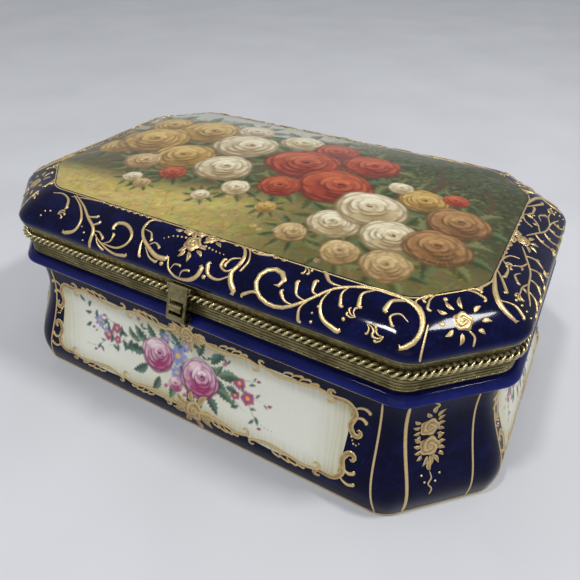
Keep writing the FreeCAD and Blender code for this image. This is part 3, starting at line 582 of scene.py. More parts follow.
def shared(maker, *extra, **words):
    """The material a function makes, made once."""
    name = words.get("name", maker.__name__)
    return bpy.data.materials.get(name) or maker(*extra, **words)


# ---- porcelain shells --------------------------------------------------------------------------
def shrinking(ring, count):
    """Copies of a ring of sizes that shrink evenly to nothing at the middle."""
    shares = np.linspace(1, 0, count + 1)[1:, None]
    flat = ring[None, :4] * shares
    return np.column_stack([flat, np.full(count, ring[4])])


# where the white reserves of the long and of the short sides start and end, and how high they reach
LONG_RESERVE = (-78.5, 72.5)
SHORT_RESERVE = (-36.5, 36.5)
RESERVE_MIDDLE, RESERVE_HALF = 29.5, 18.0
FRAME_FOOT, FRAME_TOP = 12.0, 47.2
SHADE_FOOT, SHADE_TOP = 11.0, 48.0
FIELD_FOOT, FIELD_TOP = 8.0, 52.0
# gilt lines of the lower box: below the shoulder, above the foot, beside the frames and the corners
TOP_LINE_DROP, FOOT_LINE_RISE = 2.6, 0.75
LONG_LINE, SHORT_LINE = 85.0, 43.0
CORNER_LINES = ((-15.4, 1.6), (12.2, 0.9))
SHELL_PITCH = 3.4
SHEET_LIFT = 0.06


def wall_section():
    """The outside of the lower box up to its gilt line."""
    return Section(natural_spline(WALL_SECTION, WALL_STEPS))


def lid_section():
    """The outside of the lid up to the edge of the painting."""
    rows = lid_rings()[:BORDER_ROW + 1]
    return Section(np.column_stack([rows[:, 0] - RIM_LENGTH, rows[:, 4]]))


def lid_rings():
    """Rings of the lid from its lower edge to the flat of the crown, on one natural spline."""
    low = rim_rings([out for out, rise in LID_SECTION],
                    [LID_EDGE + rise for out, rise in LID_SECTION])
    high = [(length, width, corner_reach(length, width, cut), radius, LID_EDGE + rise)
            for length, width, cut, radius, rise in DOME_RINGS]
    return natural_spline(np.vstack([low, high]), LID_STEPS, across=(1, 4))


def band_rows(outs, heights):
    """Straight runs between rows of distance and height, with a few rings in each run."""
    share = np.linspace(0, 1, BAND_STEPS, endpoint=False)[None, :]
    outs, heights = np.asarray(outs, float), np.asarray(heights, float)
    out = (outs[:-1, None] + np.diff(outs)[:, None] * share).ravel()
    height = (heights[:-1, None] + np.diff(heights)[:, None] * share).ravel()
    return rim_rings(np.append(out, outs[-1]), np.append(height, heights[-1]))


def thin_glaze(rings, level, spread):
    """Tone of the glaze: 1 over the fullest part, falling off as a bell, for a lighter band there
    that is a painted highlight.
    """
    return np.exp(-((rings[:, 4] - level) / spread) ** 2)[:, None]


class TRINKET_OT_lower_box(bpy.types.Operator):
    """Glazed lower box: cobalt outside, white inside, unglazed foot ring"""
    bl_idname = "trinket.lower_box"
    bl_label = "Lower Box"

    def execute(self, context):
        columns = ring_columns()
        wall = natural_spline(WALL_SECTION, WALL_STEPS)
        roll = natural_spline(ROLL_SECTION, ROLL_STEPS)
        outside = rim_rings(np.concatenate([wall[:, 0], roll[1:, 0]]),
                            np.concatenate([wall[:, 1], roll[1:, 1]]))
        neck = band_rows((ROLL_SECTION[-1][0], NECK_OUT, NECK_OUT, BOX_NECK_IN),
                         (SHOULDER_TOP, SHOULDER_TOP, BOX_NECK_TOP, BOX_NECK_TOP))
        inner = natural_spline(INSIDE_SECTION, INSIDE_STEPS)
        inside = rim_rings(inner[:, 0], inner[:, 1])
        floor = shrinking(inside[-1], FLOOR_RINGS)
        recess = rim_rings(RECESS_OUT, RECESS_HEIGHT)
        under = shrinking(recess[0], RECESS_RINGS)[::-1]
        ring = rim_rings(FOOT_OUT, FOOT_HEIGHT)
        pile = Pile()
        plaster = np.vstack([recess[-1:], ring, outside[1:2]])
        white_under = np.vstack([under, recess])
        blue = np.vstack([outside[1:], neck[1:]])
        white = np.vstack([neck[-1:], inside[1:], floor])
        pile.grid(ring_grid(white_under, columns), around=True, slot=1)
        pile.grid(ring_grid(plaster, columns), around=True, slot=2)
        # painted highlight: a lighter streaked blue band over the fullest part of the shoulder roll
        pile.grid(ring_grid(blue, columns), tone=0.85 * thin_glaze(blue, ROLL_LEVEL, ROLL_SPREAD),
                  around=True)
        pile.grid(ring_grid(white, columns), around=True, slot=1)
        item = pile.mesh("lower_box_glaze", [shared(cobalt_glaze), shared(white_porcelain),
                                             shared(bare_porcelain)], merge=True)
        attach(item, "base")
        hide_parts("base_bowl")
        return {"FINISHED"}


class TRINKET_OT_lid(bpy.types.Operator):
    """Glazed lid: cobalt cove and dome outside, white inside"""
    bl_idname = "trinket.lid"
    bl_label = "Lid"

    def execute(self, context):
        columns = ring_columns()
        outside = lid_rings()
        crown = shrinking(outside[-1], CROWN_RINGS)
        neck = band_rows((LID_NECK_IN, NECK_OUT, NECK_OUT, LID_SECTION[0][0]),
                         (LID_NECK_FOOT, LID_NECK_FOOT, LID_EDGE, LID_EDGE))
        low = rim_rings([out for out, height in LID_INSIDE], [height for out, height in LID_INSIDE])
        length, width, cut, radius, rise = DOME_RINGS[1]
        top = np.array([[length, width, corner_reach(length, width, cut), radius,
                         LID_EDGE + rise - LID_WALL]])
        inside = natural_spline(np.vstack([low, top]), LID_INSIDE_STEPS, across=(1, 4))[::-1]
        ceiling = shrinking(inside[0], CROWN_RINGS)[::-1]
        pile = Pile()
        white = np.vstack([ceiling, inside])
        blue = np.vstack([neck[:-1], outside, crown])
        pile.grid(ring_grid(white, columns), around=True, slot=1)
        # painted highlight: a fainter lighter band over the bulge at the lid's lower edge
        pile.grid(ring_grid(blue, columns), tone=0.30 * thin_glaze(blue, LID_EDGE + 1.6, 1.6),
                  around=True)
        item = pile.mesh("lid_glaze", [shared(cobalt_glaze), shared(white_porcelain)], merge=True)
        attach(item, "lid")
        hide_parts("lid_shell")
        return {"FINISHED"}


# ---- paths and raised ornament -----------------------------------------------------------------
def smooth(points, count):
    """Points evenly spread on the centripetal curve through a few points.

    Each span is the cubic with ends p1, p2 and end slopes (p2 - p0) / 2 and (p3 - p1) / 2.
    """
    points = np.asarray(points, float)
    if len(points) == 2:
        return points[0] + (points[1] - points[0]) * np.linspace(0, 1, count)[:, None]
    padded = np.vstack([2 * points[0] - points[1], points, 2 * points[-1] - points[-2]])
    t = np.linspace(0, 1, 12, endpoint=False)[None, :, None]
    p0, p1, p2, p3 = (padded[shift:len(padded) - 3 + shift, None] for shift in range(4))
    spans = (p1 + 0.5 * t * (p2 - p0) + t ** 2 * (p0 - 2.5 * p1 + 2 * p2 - 0.5 * p3)
             + t ** 3 * (1.5 * (p1 - p2) + 0.5 * (p3 - p0)))
    return even(np.vstack([spans.reshape(-1, 2), points[-1:]]), count)


def even(path, count):
    """The same path with its points evenly spread along it."""
    walked = np.concatenate([[0], np.cumsum(np.hypot(*np.diff(path, axis=0).T))])
    steps = np.linspace(0, walked[-1], count)
    return np.column_stack([np.interp(steps, walked, path[:, axis]) for axis in (0, 1)])


def curl(path, radius, way, turns=0.8):
    """A path that ends in a volute: a circle whose radius shrinks to a third while it turns."""
    last, heading = path[-1], path[-1] - path[-2]
    heading = heading / np.hypot(*heading)
    normal = way * np.array([-heading[1], heading[0]])
    angle = np.linspace(0, 2 * math.pi * turns, 22)[1:, None]
    shrink = radius * (1 - 0.68 * angle / angle[-1])
    centre = last + normal * radius
    round_off = centre + shrink * (heading * np.sin(angle) - normal * np.cos(angle))
    return np.vstack([path, round_off])


def scroll(points, head=None, tail=None):
    """A smooth stem with a volute at either end, each given as radius and way."""
    path = smooth(points, 30)
    if tail:
        path = curl(path, *tail)
    if head:
        path = curl(path[::-1], head[0], head[1])[::-1]
    return even(path, max(14, int(np.hypot(*np.diff(path, axis=0).T).sum() / 0.9)))


class Gilder:
    """Raises gold ornament on the charts of one part of the box."""

    def __init__(self):
        look = settings("gilt")
        self.pile = Pile()
        self.relief = look.relief / MM
        self.boldness = look.boldness

    def ribbon(self, chart, path, width, height=1.0, taper=0.55, hollow=0.0, swell=False):
        """A rounded ribbon: half width w (1 - taper (2 t - 1)^4), height the root of 1 - c^2.

        A hollow lowers the middle, so that both edges stand up as lips, painted bright as
        highlights over a shaded middle. A swelling ribbon starts thin, widens all along and ends in
        a round drop.
        """
        width = width * self.boldness
        along = np.gradient(path, axis=0)
        along /= np.maximum(np.hypot(*along.T), 1e-9)[:, None]
        t = np.linspace(-1, 1, len(path))[:, None]
        half = width / 2 * (1 - taper * t ** 4 - (1 - taper) * np.abs(t) ** 24)
        if swell:
            half = width / 2 * (0.62 + 0.38
                                * t) * np.sqrt(1 - np.clip((t - 0.72) / 0.28, 0, 1) ** 2) + 0.02
        count = 9 if hollow else 5
        c = np.linspace(-1, 1, count)[None, :]
        x = path[:, :1] + along[:, 1:] * half * c
        s = path[:, 1:] - along[:, :1] * half * c
        crest = np.sqrt(np.maximum(1 - c ** 2, 0)) * (1 - hollow * np.exp(-(c / 0.45) ** 2))
        lift = self.relief * height * crest * np.minimum(1, half / width
                                                         * 3) - 0.05 * (np.abs(c) > 0.99)
        # painted light and shade: the tone is bright on the crest and dark towards the edges; with
        # a hollow, bright on both lips and dark in the middle
        tone = np.clip(crest * 1.15 - 0.15, 0, 1) * np.ones_like(x)
        if hollow:
            tone = np.clip(np.abs(c) * 1.6 - 0.35, 0, 1) * np.ones_like(x)
        self.pile.grid(chart.at(x, s, lift), tone=tone)

    def leaf(self, chart, x, s, length, angle, width=None, height=1.0):
        """A pointed leaf with a sunk vein; its half width is w sin(pi t^0.75)."""
        width = (length * 0.42 if width is None else width) * self.boldness
        t = np.linspace(0, 1, 8)[:, None]
        c = np.linspace(-1, 1, 7)[None, :]
        half = width / 2 * np.sin(math.pi * t ** 0.75) + 0.04
        bend = 0.12 * length * np.sin(math.pi * t)
        along = t * length
        across = -half * c + bend
        turn = math.radians(angle)
        px = x + along * math.cos(turn) - across * math.sin(turn)
        ps = s + along * math.sin(turn) + across * math.cos(turn)
        crest = np.sqrt(np.maximum(1 - c ** 2, 0)) * (1 - 0.5 * np.exp(-(c / 0.3) ** 2))
        lift = self.relief * height * crest * np.sin(math.pi * np.clip(t * 0.9 + 0.08, 0, 1)) - 0.03
        # painted shade: the tone darkens the sunk vein and leaves the edges bright
        tone = np.clip(np.abs(c) * 1.2 - 0.1, 0, 1) * np.ones_like(px)
        self.pile.grid(chart.at(px, ps, lift), tone=tone)

    def bead(self, chart, x, s, radius):
        """A small dome of gold, a little higher than the ribbons."""
        r = np.linspace(1, 0, 4)[:, None]
        a = np.linspace(0, 2 * math.pi, 9)[None, :-1]
        lift = self.relief * 1.2 * np.sqrt(1 - r ** 2) * np.ones_like(a) - 0.03 * (r > 0.99)
        points = chart.at(x + radius * r * np.cos(a), s + radius * r * np.sin(a), lift)
        self.pile.grid(points, tone=0.9, around=True)

    def rose(self, chart, x, s, radius, height=1.7):
        """A full rose: a dome folded into petals by a wave that winds outwards as a spiral."""
        r = np.linspace(1, 0, 12)[:, None]
        a = np.linspace(0, 2 * math.pi, 37)[None, :-1]
        wind = np.sin(2 * a + 14.0 * r ** 0.9 + 0.9 * np.sin(3 * a))
        edge = 1 + 0.10 * np.cos(5 * a) * r ** 3
        lift = self.relief * height * ((1 - 0.75 * r ** 2) * (0.72 + 0.28 * wind)
                                       * np.sqrt(np.clip(1.02 - r ** 6, 0, 1)))
        points = chart.at(x + radius * edge * r * np.cos(a), s + radius * edge * r * np.sin(a),
                          lift - 0.06 * (r > 0.99))
        # painted light and shade: the tone follows the petal wave, dark in its folds, bright on its
        # ridges
        tone = np.clip(0.42 + 0.55 * wind, 0, 1)
        self.pile.grid(points, tone=tone, around=True)

    def blossom(self, chart, x, s, radius, leaves, turn):
        """A rose with leaves all round it."""
        for index in range(leaves):
            angle = turn + 360.0 * index / leaves
            radians = math.radians(angle)
            length = radius * (1.15 + 0.22 * math.sin(2.3 * index + turn))
            self.leaf(chart, x + 0.82 * radius * math.cos(radians),
                      s + 0.82 * radius * math.sin(radians), length, angle, radius * 0.55)
        self.rose(chart, x, s, radius)

    def stem(self, chart, points, width, head=None, tail=None, hollow=0.0):
        """A plain stem or a scroll with a volute at either end."""
        self.ribbon(chart, scroll(points, head, tail), width, hollow=hollow)

    def comma(self, chart, points, width=1.9, hook=1.3):
        """A stroke that leaves a stem thin, bends through points and ends in a hooked drop."""
        path = smooth(points, 24)
        first, last = path[12] - path[0], path[-1] - path[12]
        bend = first[0] * last[1] - first[1] * last[0]
        path = curl(path, hook, 1 if bend > 0 else -1, 0.36)
        self.ribbon(chart, even(path, 26), width, 1.1, swell=True)

    def spray(self, chart, x, s, angle, size, count=4, lean=1):
        """Commas that fan out from one spot, the longest in the middle."""
        for index in range(count):
            turn = math.radians(angle + (index - (count - 1) / 2) * 33)
            length = size * (1 - 0.13 * abs(index - (count - 1) / 2))
            ax, ay = math.cos(turn), math.sin(turn)
            self.comma(chart, [(x, s), (x + 0.55 * length * ax - 0.16 * lean * length * ay,
                                        s + 0.55 * length * ay + 0.16 * lean * length * ax),
                               (x + length * ax, s + length * ay)], 0.20 * length + 0.4,
                       0.13 * length + 0.3)

    def dots(self, chart, points, radii):
        """Beads along a curve through points, one for each radius."""
        path = smooth(points, len(radii))
        for (x, s), radius in zip(path, radii):
            self.bead(chart, x, s, radius)

    def shells(self, chart, x0, x1, s, lift):
        """Scalloped shell edging: a row of short overlapping fans."""
        for x in np.arange(x0, x1, SHELL_PITCH):
            for angle, length in ((58.0, 2.3), (92.0, 2.7), (126.0, 2.3)):
                self.leaf(chart, x + SHELL_PITCH / 2, s, length * lift, angle, 1.0, 0.8)

    def line(self, chart, points, width, height=0.5, taper=0.0):
        """A plain gilt line through points."""
        path = smooth(points, 40)
        self.ribbon(chart, path, width, height, taper=taper)

    def hoop(self, section, rise, width, columns, height=0.55):
        """A gilt line right round the box."""
        c = np.linspace(-1, 1, 6)
        lift = self.relief * height * np.sqrt(1 - c ** 2) - 0.05 * (np.abs(c) > 0.99)
        points = section.ring(rise + c * width / 2, lift, columns)
        self.pile.grid(points, tone=0.75, around=True)


def gild_wall_frame(gold, chart, left, right, big):
    """Gold frame of a white reserve: combed scrolls along both edges, C-scrolls at its ends."""
    top, foot = FRAME_TOP, FRAME_FOOT
    middle, half = (left + right) / 2, (right - left) / 2
    runs = ((0.10, 0.44), (0.48, 0.88)) if half > 60 else ((0.18, 0.80),)
    for side in (-1, 1):
        for low, high in runs:
            x0, x1 = middle + side * half * low, middle + side * half * high
            for edge, way in ((top, 1), (foot, -1)):
                path = [(x0, edge + way * 0.2), (x0 * 0.75 + x1 * 0.25, edge - way * 1.5),
                        (x0 * 0.45 + x1 * 0.55, edge - way * 0.6),
                        (x0 * 0.2 + x1 * 0.8, edge + way * 0.6), (x1, edge - way * 0.4)]
                gold.stem(chart, path, 2.1, head=(1.8, -side * way), tail=(2.1, -side * way))
                for share, size in ((0.30, 4.2), (0.42, 5.0), (0.54, 4.7), (0.68, 3.8)):
                    x = x0 + (x1 - x0) * share
                    gold.comma(chart, [(x, edge - way * 0.6),
                                       (x + side * 0.40 * size, edge + way * 0.44 * size),
                                       (x + side * size, edge + way * 0.66 * size)], 1.6, 0.8)
                gold.dots(chart, [(x0 * 0.62 + x1 * 0.38, edge + way * 2.2),
                                  (x0 * 0.42 + x1 * 0.58, edge + way * 2.7)],
                          (0.36, 0.30, 0.26, 0.22))
        end = right if side > 0 else left
        centre = (top + foot) / 2
        for edge, way in ((top, 1), (foot, -1)):
            gold.stem(chart, [(end - side * 8.0, edge - way * 0.6),
                              (end - side * 2.0, edge - way * 0.4),
                              (end + side * 1.4, edge - way * 4.6),
                              (end + side * 0.2, edge - way * 10.0),
                              (end + side * 1.6, centre + way * 4.6)], 2.6,
                      head=(2.1, -side * way), tail=(2.1, side * way), hollow=0.4)
            for index, size in enumerate((6.4, 5.6)):
                level = edge - way * (1.0 + 5.2 * index)
                gold.comma(chart, [(end + side * 0.2, level - way * 3.2),
                                   (end + side * 0.3 * size, level - way * 0.3),
                                   (end + side * 0.7 * size, level + way * 0.9),
                                   (end + side * size, level + way * 0.2)],
                           2.0, 0.9)
        gold.dots(chart, [(end + side * 1.6, centre + 3.0), (end + side * 3.4, centre),
                          (end + side * 5.0, centre + 1.4)], (0.5, 0.42, 0.5, 0.4, 0.34))
    for x, s, way, full in ((middle - 0.5 * big, top + 0.2, -1, 3.3),
                            (middle + 4.5 * big, foot - 0.4, 1, 4.3)):
        gold.blossom(chart, x, s, full * big, leaves=8, turn=12)
        for side in (-1, 1):
            gold.rose(chart, x + side * 5.0 * big, s - way * 0.4, 2.3 * big, 1.3)
            for index in range(3):
                gold.leaf(chart, x + side * (6.6 + 1.6 * index) * big,
                          s + way * (0.8 - 0.7 * index), 3.6,
                          90 - side * (68 + 16 * index - way * 14), 1.3)


def gild_wall_spray(gold, chart):
    """Two roses with leaves that hang from the gilt line, left of the middle of a cut corner."""
    chart = chart.shifted(-4.6)
    gold.stem(chart, [(1.0, 56.0), (-1.4, 53.6), (1.0, 51.6), (0.2, 49.6)], 0.8)
    gold.leaf(chart, 2.4, 55.0, 2.6, 35, 1.0)
    gold.leaf(chart, 0.2, 47.0, 4.6, 84, 2.0)
    gold.leaf(chart, -0.8, 45.4, 3.4, 130, 1.7)
    gold.leaf(chart, 1.6, 45.0, 4.4, 48, 1.6)
    for x, s in ((-1.4, 40.4), (-1.0, 32.0)):
        for side in (-1, 1):
            for index in range(4):
                gold.leaf(chart, x + side * 3.4, s + 2.6 - index * 1.9, 3.4 - 0.2 * index,
                          90 - side * (52 + 26 * index), 1.5)
    gold.rose(chart, -1.2, 40.6, 3.9)
    gold.rose(chart, -1.0, 32.2, 4.1)
    for angle in (-122, -90, -58):
        gold.leaf(chart, -1.0 + 0.03 * (angle + 90), 28.2, 4.6, angle, 1.7)
    gold.leaf(chart, -1.4, 22.0, 4.4, 86, 1.9)
    gold.stem(chart, [(-1.5, 22.0), (-0.8, 18.8), (-2.2, 16.4), (-0.6, 13.8), (-1.6, 10.8)], 0.7)
    for x, s in ((-3.6, 17.4), (0.8, 17.0), (-4.8, 20.6), (2.6, 20.2)):
        gold.bead(chart, x, s, 0.5)


class TRINKET_OT_lower_box_gilding(bpy.types.Operator):
    """Raised gilding of the lower box: lines, frames of the reserves and corner sprays"""
    bl_idname = "trinket.lower_box_gilding"
    bl_label = "Lower Box Gilding"

    def execute(self, context):
        look = settings("gilt")
        section = wall_section()
        width = look.line_width / MM
        gold = Gilder()
        top_line = section.length[-1] - TOP_LINE_DROP
        columns = ring_columns()
        gold.hoop(section, top_line, width * 0.8, columns)
        gold.hoop(section, FOOT_LINE_RISE, width * 0.7, columns)
        for face in range(FACES):
            chart = Chart(face, section)
            if face % 2:
                for x, size in CORNER_LINES:
                    gold.line(chart, [(x, 1.0), (x, top_line * 0.5), (x, top_line)], size)
                gild_wall_spray(gold, chart)
            else:
                long_side = face % 4 == 0
                half = LONG_LINE if long_side else SHORT_LINE
                for side in (-1, 1):
                    gold.line(chart, [(side * (half + 4.0), 1.0),
                                      (side * (half + 0.4), top_line * 0.35),
                                      (side * (half - 1.2), top_line * 0.7),
                                      (side * (half - 1.8), top_line)], 1.0)
                left, right = LONG_RESERVE if long_side else SHORT_RESERVE
                gild_wall_frame(gold, chart, left, right, 1.35 if long_side else 1.05)
        item = gold.pile.mesh("lower_box_gilding", [shared(raised_gold)], merge=True)
        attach(item, "base")
        return {"FINISHED"}


def gild_lid_front(gold, chart):
    """Front of the lid: rose cartouche, forked stem on its left, acanthus branch on its right."""
    for width, points in (
            # the forked stem and the C-scroll beside it
            (1.5, ((-80.2, 19.5), (-75.2, 20.6), (-70.0, 18.6), (-67.2, 14.4))),
            (1.9, ((-69.2, 21.6), (-61.5, 17.2), (-56.0, 11.2), (-56.4, 5.8), (-61.6, 3.6))),
            (2.0, ((-68.2, 22.0), (-60.2, 18.0), (-53.8, 13.4), (-47.2, 8.8), (-46.4, 1.6))),
            (1.4, ((-57.5, 15.8), (-53.4, 13.8), (-49.6, 14.7))),
            (1.4, ((-52.5, 12.2), (-49.2, 10.8), (-46.6, 12.4))),
            (1.4, ((-47.0, 8.5), (-44.0, 8.8), (-41.0, 7.2))),
            (1.1, ((-69.8, 20.6), (-59.5, 22.4), (-52.8, 23.0))),
            (1.6, ((-46.6, 8.0), (-40.5, 4.6), (-33.2, 2.4), (-27.0, 3.2))),
            (2.1, ((-41.0, 4.9), (-32.4, 5.0), (-28.2, 8.5), (-29.0, 12.9), (-34.2, 15.8),
                   (-38.5, 15.0), (-38.8, 12.4))),
            (1.3, ((-39.4, 5.0), (-36.6, 6.8), (-36.4, 9.6))),
            (1.2, ((-44.6, 7.2), (-42.6, 4.4), (-39.4, 2.4))),
            # the cartouche
            (2.5, ((-20.6, 22.6), (-25.2, 21.6), (-25.8, 17.0), (-23.2, 13.0), (-18.2, 9.6),
                   (-12.8, 7.2), (-8.6, 7.4))),
            (1.4, ((-22.8, 12.8), (-22.0, 9.2), (-20.7, 5.3))),
            (1.3, ((-24.4, 16.4), (-21.0, 15.8), (-18.8, 13.0))),
            (1.3, ((-18.8, 10.4), (-16.4, 12.2), (-13.8, 11.2))),
            (1.3, ((-19.5, 9.2), (-15.8, 6.0), (-12.4, 5.0))),
            (2.3, ((-7.6, 8.6), (-5.4, 4.2), (-1.2, 2.0), (4.0, 2.6), (7.4, 5.0), (8.2, 8.4))),
            (1.1, ((-4.6, 4.4), (-3.6, 6.6), (-1.4, 7.0))),
            (1.1, ((0.2, 2.8), (0.8, 5.2), (3.0, 6.2))),
            (2.6, ((13.0, 24.2), (18.0, 23.2), (21.2, 19.2), (21.4, 14.5), (20.2, 10.8),
                   (21.6, 7.4), (24.0, 4.8))),
            (1.1, ((16.4, 24.8), (21.4, 22.2), (24.0, 17.4), (23.4, 12.6))),
            (1.4, ((20.6, 17.4), (17.6, 16.0), (16.3, 13.0))),
            (1.6, ((21.2, 13.6), (18.2, 10.6), (15.0, 11.8), (14.8, 14.4))),
            (2.0, ((20.8, 9.8), (16.5, 6.6), (11.8, 7.2), (9.8, 10.6))),
            (1.2, ((19.5, 24.0), (24.0, 21.6), (29.0, 22.4), (33.0, 24.2))),
            # the acanthus branch: its two ends, its upper and its lower strokes
            (1.6, ((39.6, 4.4), (35.8, 5.8), (31.8, 6.8), (28.0, 4.6))),
            (2.3, ((79.8, 22.2), (70.5, 22.4), (62.2, 20.0), (57.2, 16.6), (53.4, 12.0),
                   (48.2, 7.2),
                   (43.5, 4.6), (38.0, 4.5), (33.2, 6.8), (30.8, 11.2), (32.0, 15.8), (35.4, 17.8),
                   (39.2, 16.6), (40.8, 13.4), (39.0, 11.0))),
            (2.4, ((58.5, 17.4), (66.2, 21.8), (73.8, 23.4), (81.0, 22.4), (87.0, 19.0),
                   (90.6, 13.5), (90.4, 8.2), (86.8, 5.2))),
            (1.7, ((47.5, 6.9), (44.0, 7.4), (41.6, 9.6))),
            (1.7, ((51.2, 9.6), (47.2, 10.8), (45.2, 15.0))),
            (1.8, ((55.2, 13.0), (52.0, 13.8), (51.0, 17.4))),
            (2.0, ((60.8, 19.2), (55.8, 19.6), (52.2, 23.4))),
            (1.6, ((52.2, 10.5), (50.2, 6.8), (51.0, 2.6))),
            (2.1, ((57.6, 16.6), (56.4, 11.0), (59.0, 6.0), (65.0, 3.6))),
            (1.6, ((62.8, 19.8), (61.6, 16.6), (62.9, 12.4))),
            (1.8, ((71.5, 22.2), (68.0, 19.0), (68.7, 14.4))),
            (2.0, ((87.4, 19.0), (83.2, 21.4), (78.3, 20.2), (77.2, 16.2))),
            (1.6, ((86.8, 18.8), (85.4, 21.8), (88.8, 23.6))),
            (1.2, ((85.8, 13.8), (82.4, 16.0), (79.8, 14.2), (81.4, 11.4)))):
        gold.comma(chart, points, width, 0.6 * width)
    gold.blossom(chart, -1.2, 17.0, 3.5, leaves=3, turn=-128)
    for x, s, radius in ((-6.2, 22.6, 2.5), (-0.8, 23.2, 2.4), (4.6, 22.4, 2.6)):
        gold.rose(chart, x, s, radius, 1.4)
    for x, s, length, angle in ((-0.6, 13.2, 4.6, -74), (-2.6, 13.6, 4.2, -112),
                                (2.2, 14.6, 3.8, -32),
                                (2.6, 18.8, 4.0, 30), (-9.0, 21.6, 3.6, 190), (7.4, 22.2, 3.8, 8),
                                (7.2, 20.6, 3.4, -24), (-8.6, 23.6, 3.2, 164)):
        gold.leaf(chart, x, s, length, angle)
    for x, s, angle in ((-69.4, 10.4, 20), (44.6, 22.6, -40), (69.4, 10.0, 150), (73.8, 9.2, -30),
                        (-91.0, 12.0, 60), (80.4, 7.0, 200)):
        gold.spray(chart, x, s, angle, 3.4, 3)
    for points, radii in ((((-5.6, 18.6), (-10.5, 17.6), (-14.0, 15.2)),
                           (0.55, 0.5, 0.45, 0.4, 0.35, 0.3)),
                          (((4.6, 17.6), (9.4, 16.8), (13.4, 16.6)),
                           (0.55, 0.5, 0.45, 0.4, 0.35, 0.3)),
                          (((-53.6, 8.6), (-51.2, 6.5), (-50.4, 3.4)), (0.35, 0.5, 0.35)),
                          (((-77.6, 7.4), (-76.8, 9.6), (-74.0, 10.6)), (0.5, 0.4, 0.5)),
                          (((56.2, 9.4), (55.0, 6.5), (55.6, 3.6)), (0.6, 0.45, 0.6)),
                          (((10.4, 5.8), (-9.4, 5.2)), (0.9, 0.9)),
                          (((65.8, 8.2), (66.0, 8.0)), (0.7, 0.6))):
        gold.dots(chart, points, radii)


def gild_lid_end(gold, chart):
    """Narrow side of the lid: a rose cluster, large C-curves and branching sprays."""
    for x, s, radius in ((-2.6, 23.0, 2.5), (2.8, 22.4, 2.6), (0.0, 18.4, 3.0)):
        gold.rose(chart, x, s, radius, 1.4)
    for angle in (-150, -112, -68, -30):
        gold.leaf(chart, 2.8 * math.cos(math.radians(angle)),
                  18.0 + 2.8 * math.sin(math.radians(angle)), 3.8, angle)
    for side in (-1, 1):
        gold.leaf(chart, side * 5.6, 22.6, 4.2, 90 - side * 82)
        gold.leaf(chart, side * 5.0, 24.0, 3.6, 90 - side * 60)
        gold.stem(chart, [(side * 4.4, 18.4), (side * 11.5, 14.6), (side * 17.8, 11.6),
                          (side * 27.0, 10.4), (side * 35.0, 7.4)], 0.9)
        for width, points in (
                (2.3, ((13.6, 17.4), (16.0, 21.4), (26.0, 23.6), (38.2, 20.8), (45.2, 14.5),
                       (46.8, 8.6))),
                (1.5, ((20.0, 22.6), (24.0, 19.6), (29.4, 19.4))),
                (1.7, ((27.0, 23.4), (32.0, 20.0), (37.2, 17.0))),
                (1.6, ((34.0, 22.0), (39.6, 23.4), (43.8, 22.0))),
                (1.5, ((43.6, 17.0), (41.0, 12.6), (42.4, 8.0))),
                (1.3, ((22.0, 15.0), (25.4, 16.6), (28.6, 14.6)))):
            gold.comma(chart, [(side * x, s) for x, s in points], width, 0.6 * width)
        for points in (((9.6, 15.6), (7.4, 11.4), (8.6, 7.0)),
                       ((15.6, 12.6), (13.4, 8.6), (15.8, 4.6)),
                       ((21.4, 11.0), (21.0, 7.4), (24.0, 4.2)),
                       ((28.4, 10.2), (29.2, 6.2), (33.2, 3.6)),
                       ((13.0, 13.8), (17.6, 15.6), (20.4, 18.4)),
                       ((24.4, 10.8), (29.0, 12.6), (33.4, 12.6))):
            mirrored = [(side * x, s) for x, s in points]
            gold.stem(chart, mirrored, 0.8)
            tip = mirrored[-1]
            lean = math.degrees(math.atan2(tip[1] - mirrored[1][1], tip[0] - mirrored[1][0]))
            gold.spray(chart, tip[0], tip[1], lean, 3.0, 3, side)
            gold.leaf(chart, mirrored[1][0], mirrored[1][1], 2.6, lean + 60)
        gold.dots(chart, [(side * 38.0, 13.0), (side * 38.4, 9.6), (side * 39.6, 5.6)],
                  (0.6, 0.5, 0.45, 0.38))


def gild_lid_corner(gold, chart):
    """Cut corner of the lid: one rose with slim leaves spread round it."""
    gold.rose(chart, -0.4, 11.8, 3.4)
    for angle, length, gap in ((74, 5.0, 4.4), (110, 4.4, 4.6), (142, 3.6, 5.6), (176, 2.8, 6.2),
                               (26, 3.8, 5.4), (-10, 3.6, 6.4), (206, 3.8, 5.0), (-116, 4.2, 4.2),
                               (-42, 2.8, 5.4)):
        radians = math.radians(angle)
        gold.leaf(chart, gap * math.cos(radians) - 0.4, 11.8 + gap * math.sin(radians), length,
                  angle, 1.6)
    gold.stem(chart, [(0.2, 8.6), (1.6, 6.0), (0.4, 3.0)], 0.9)
    gold.bead(chart, -3.0, 20.6, 0.9)
    for side in (-1, 1):
        gold.comma(chart, [(side * 2.0, 23.4), (side * 6.0, 23.6), (side * 10.0, 22.2)], 1.3)
        gold.comma(chart, [(side * 4.0, 23.6), (side * 8.0, 21.6), (side * 10.4, 18.6)], 1.3)


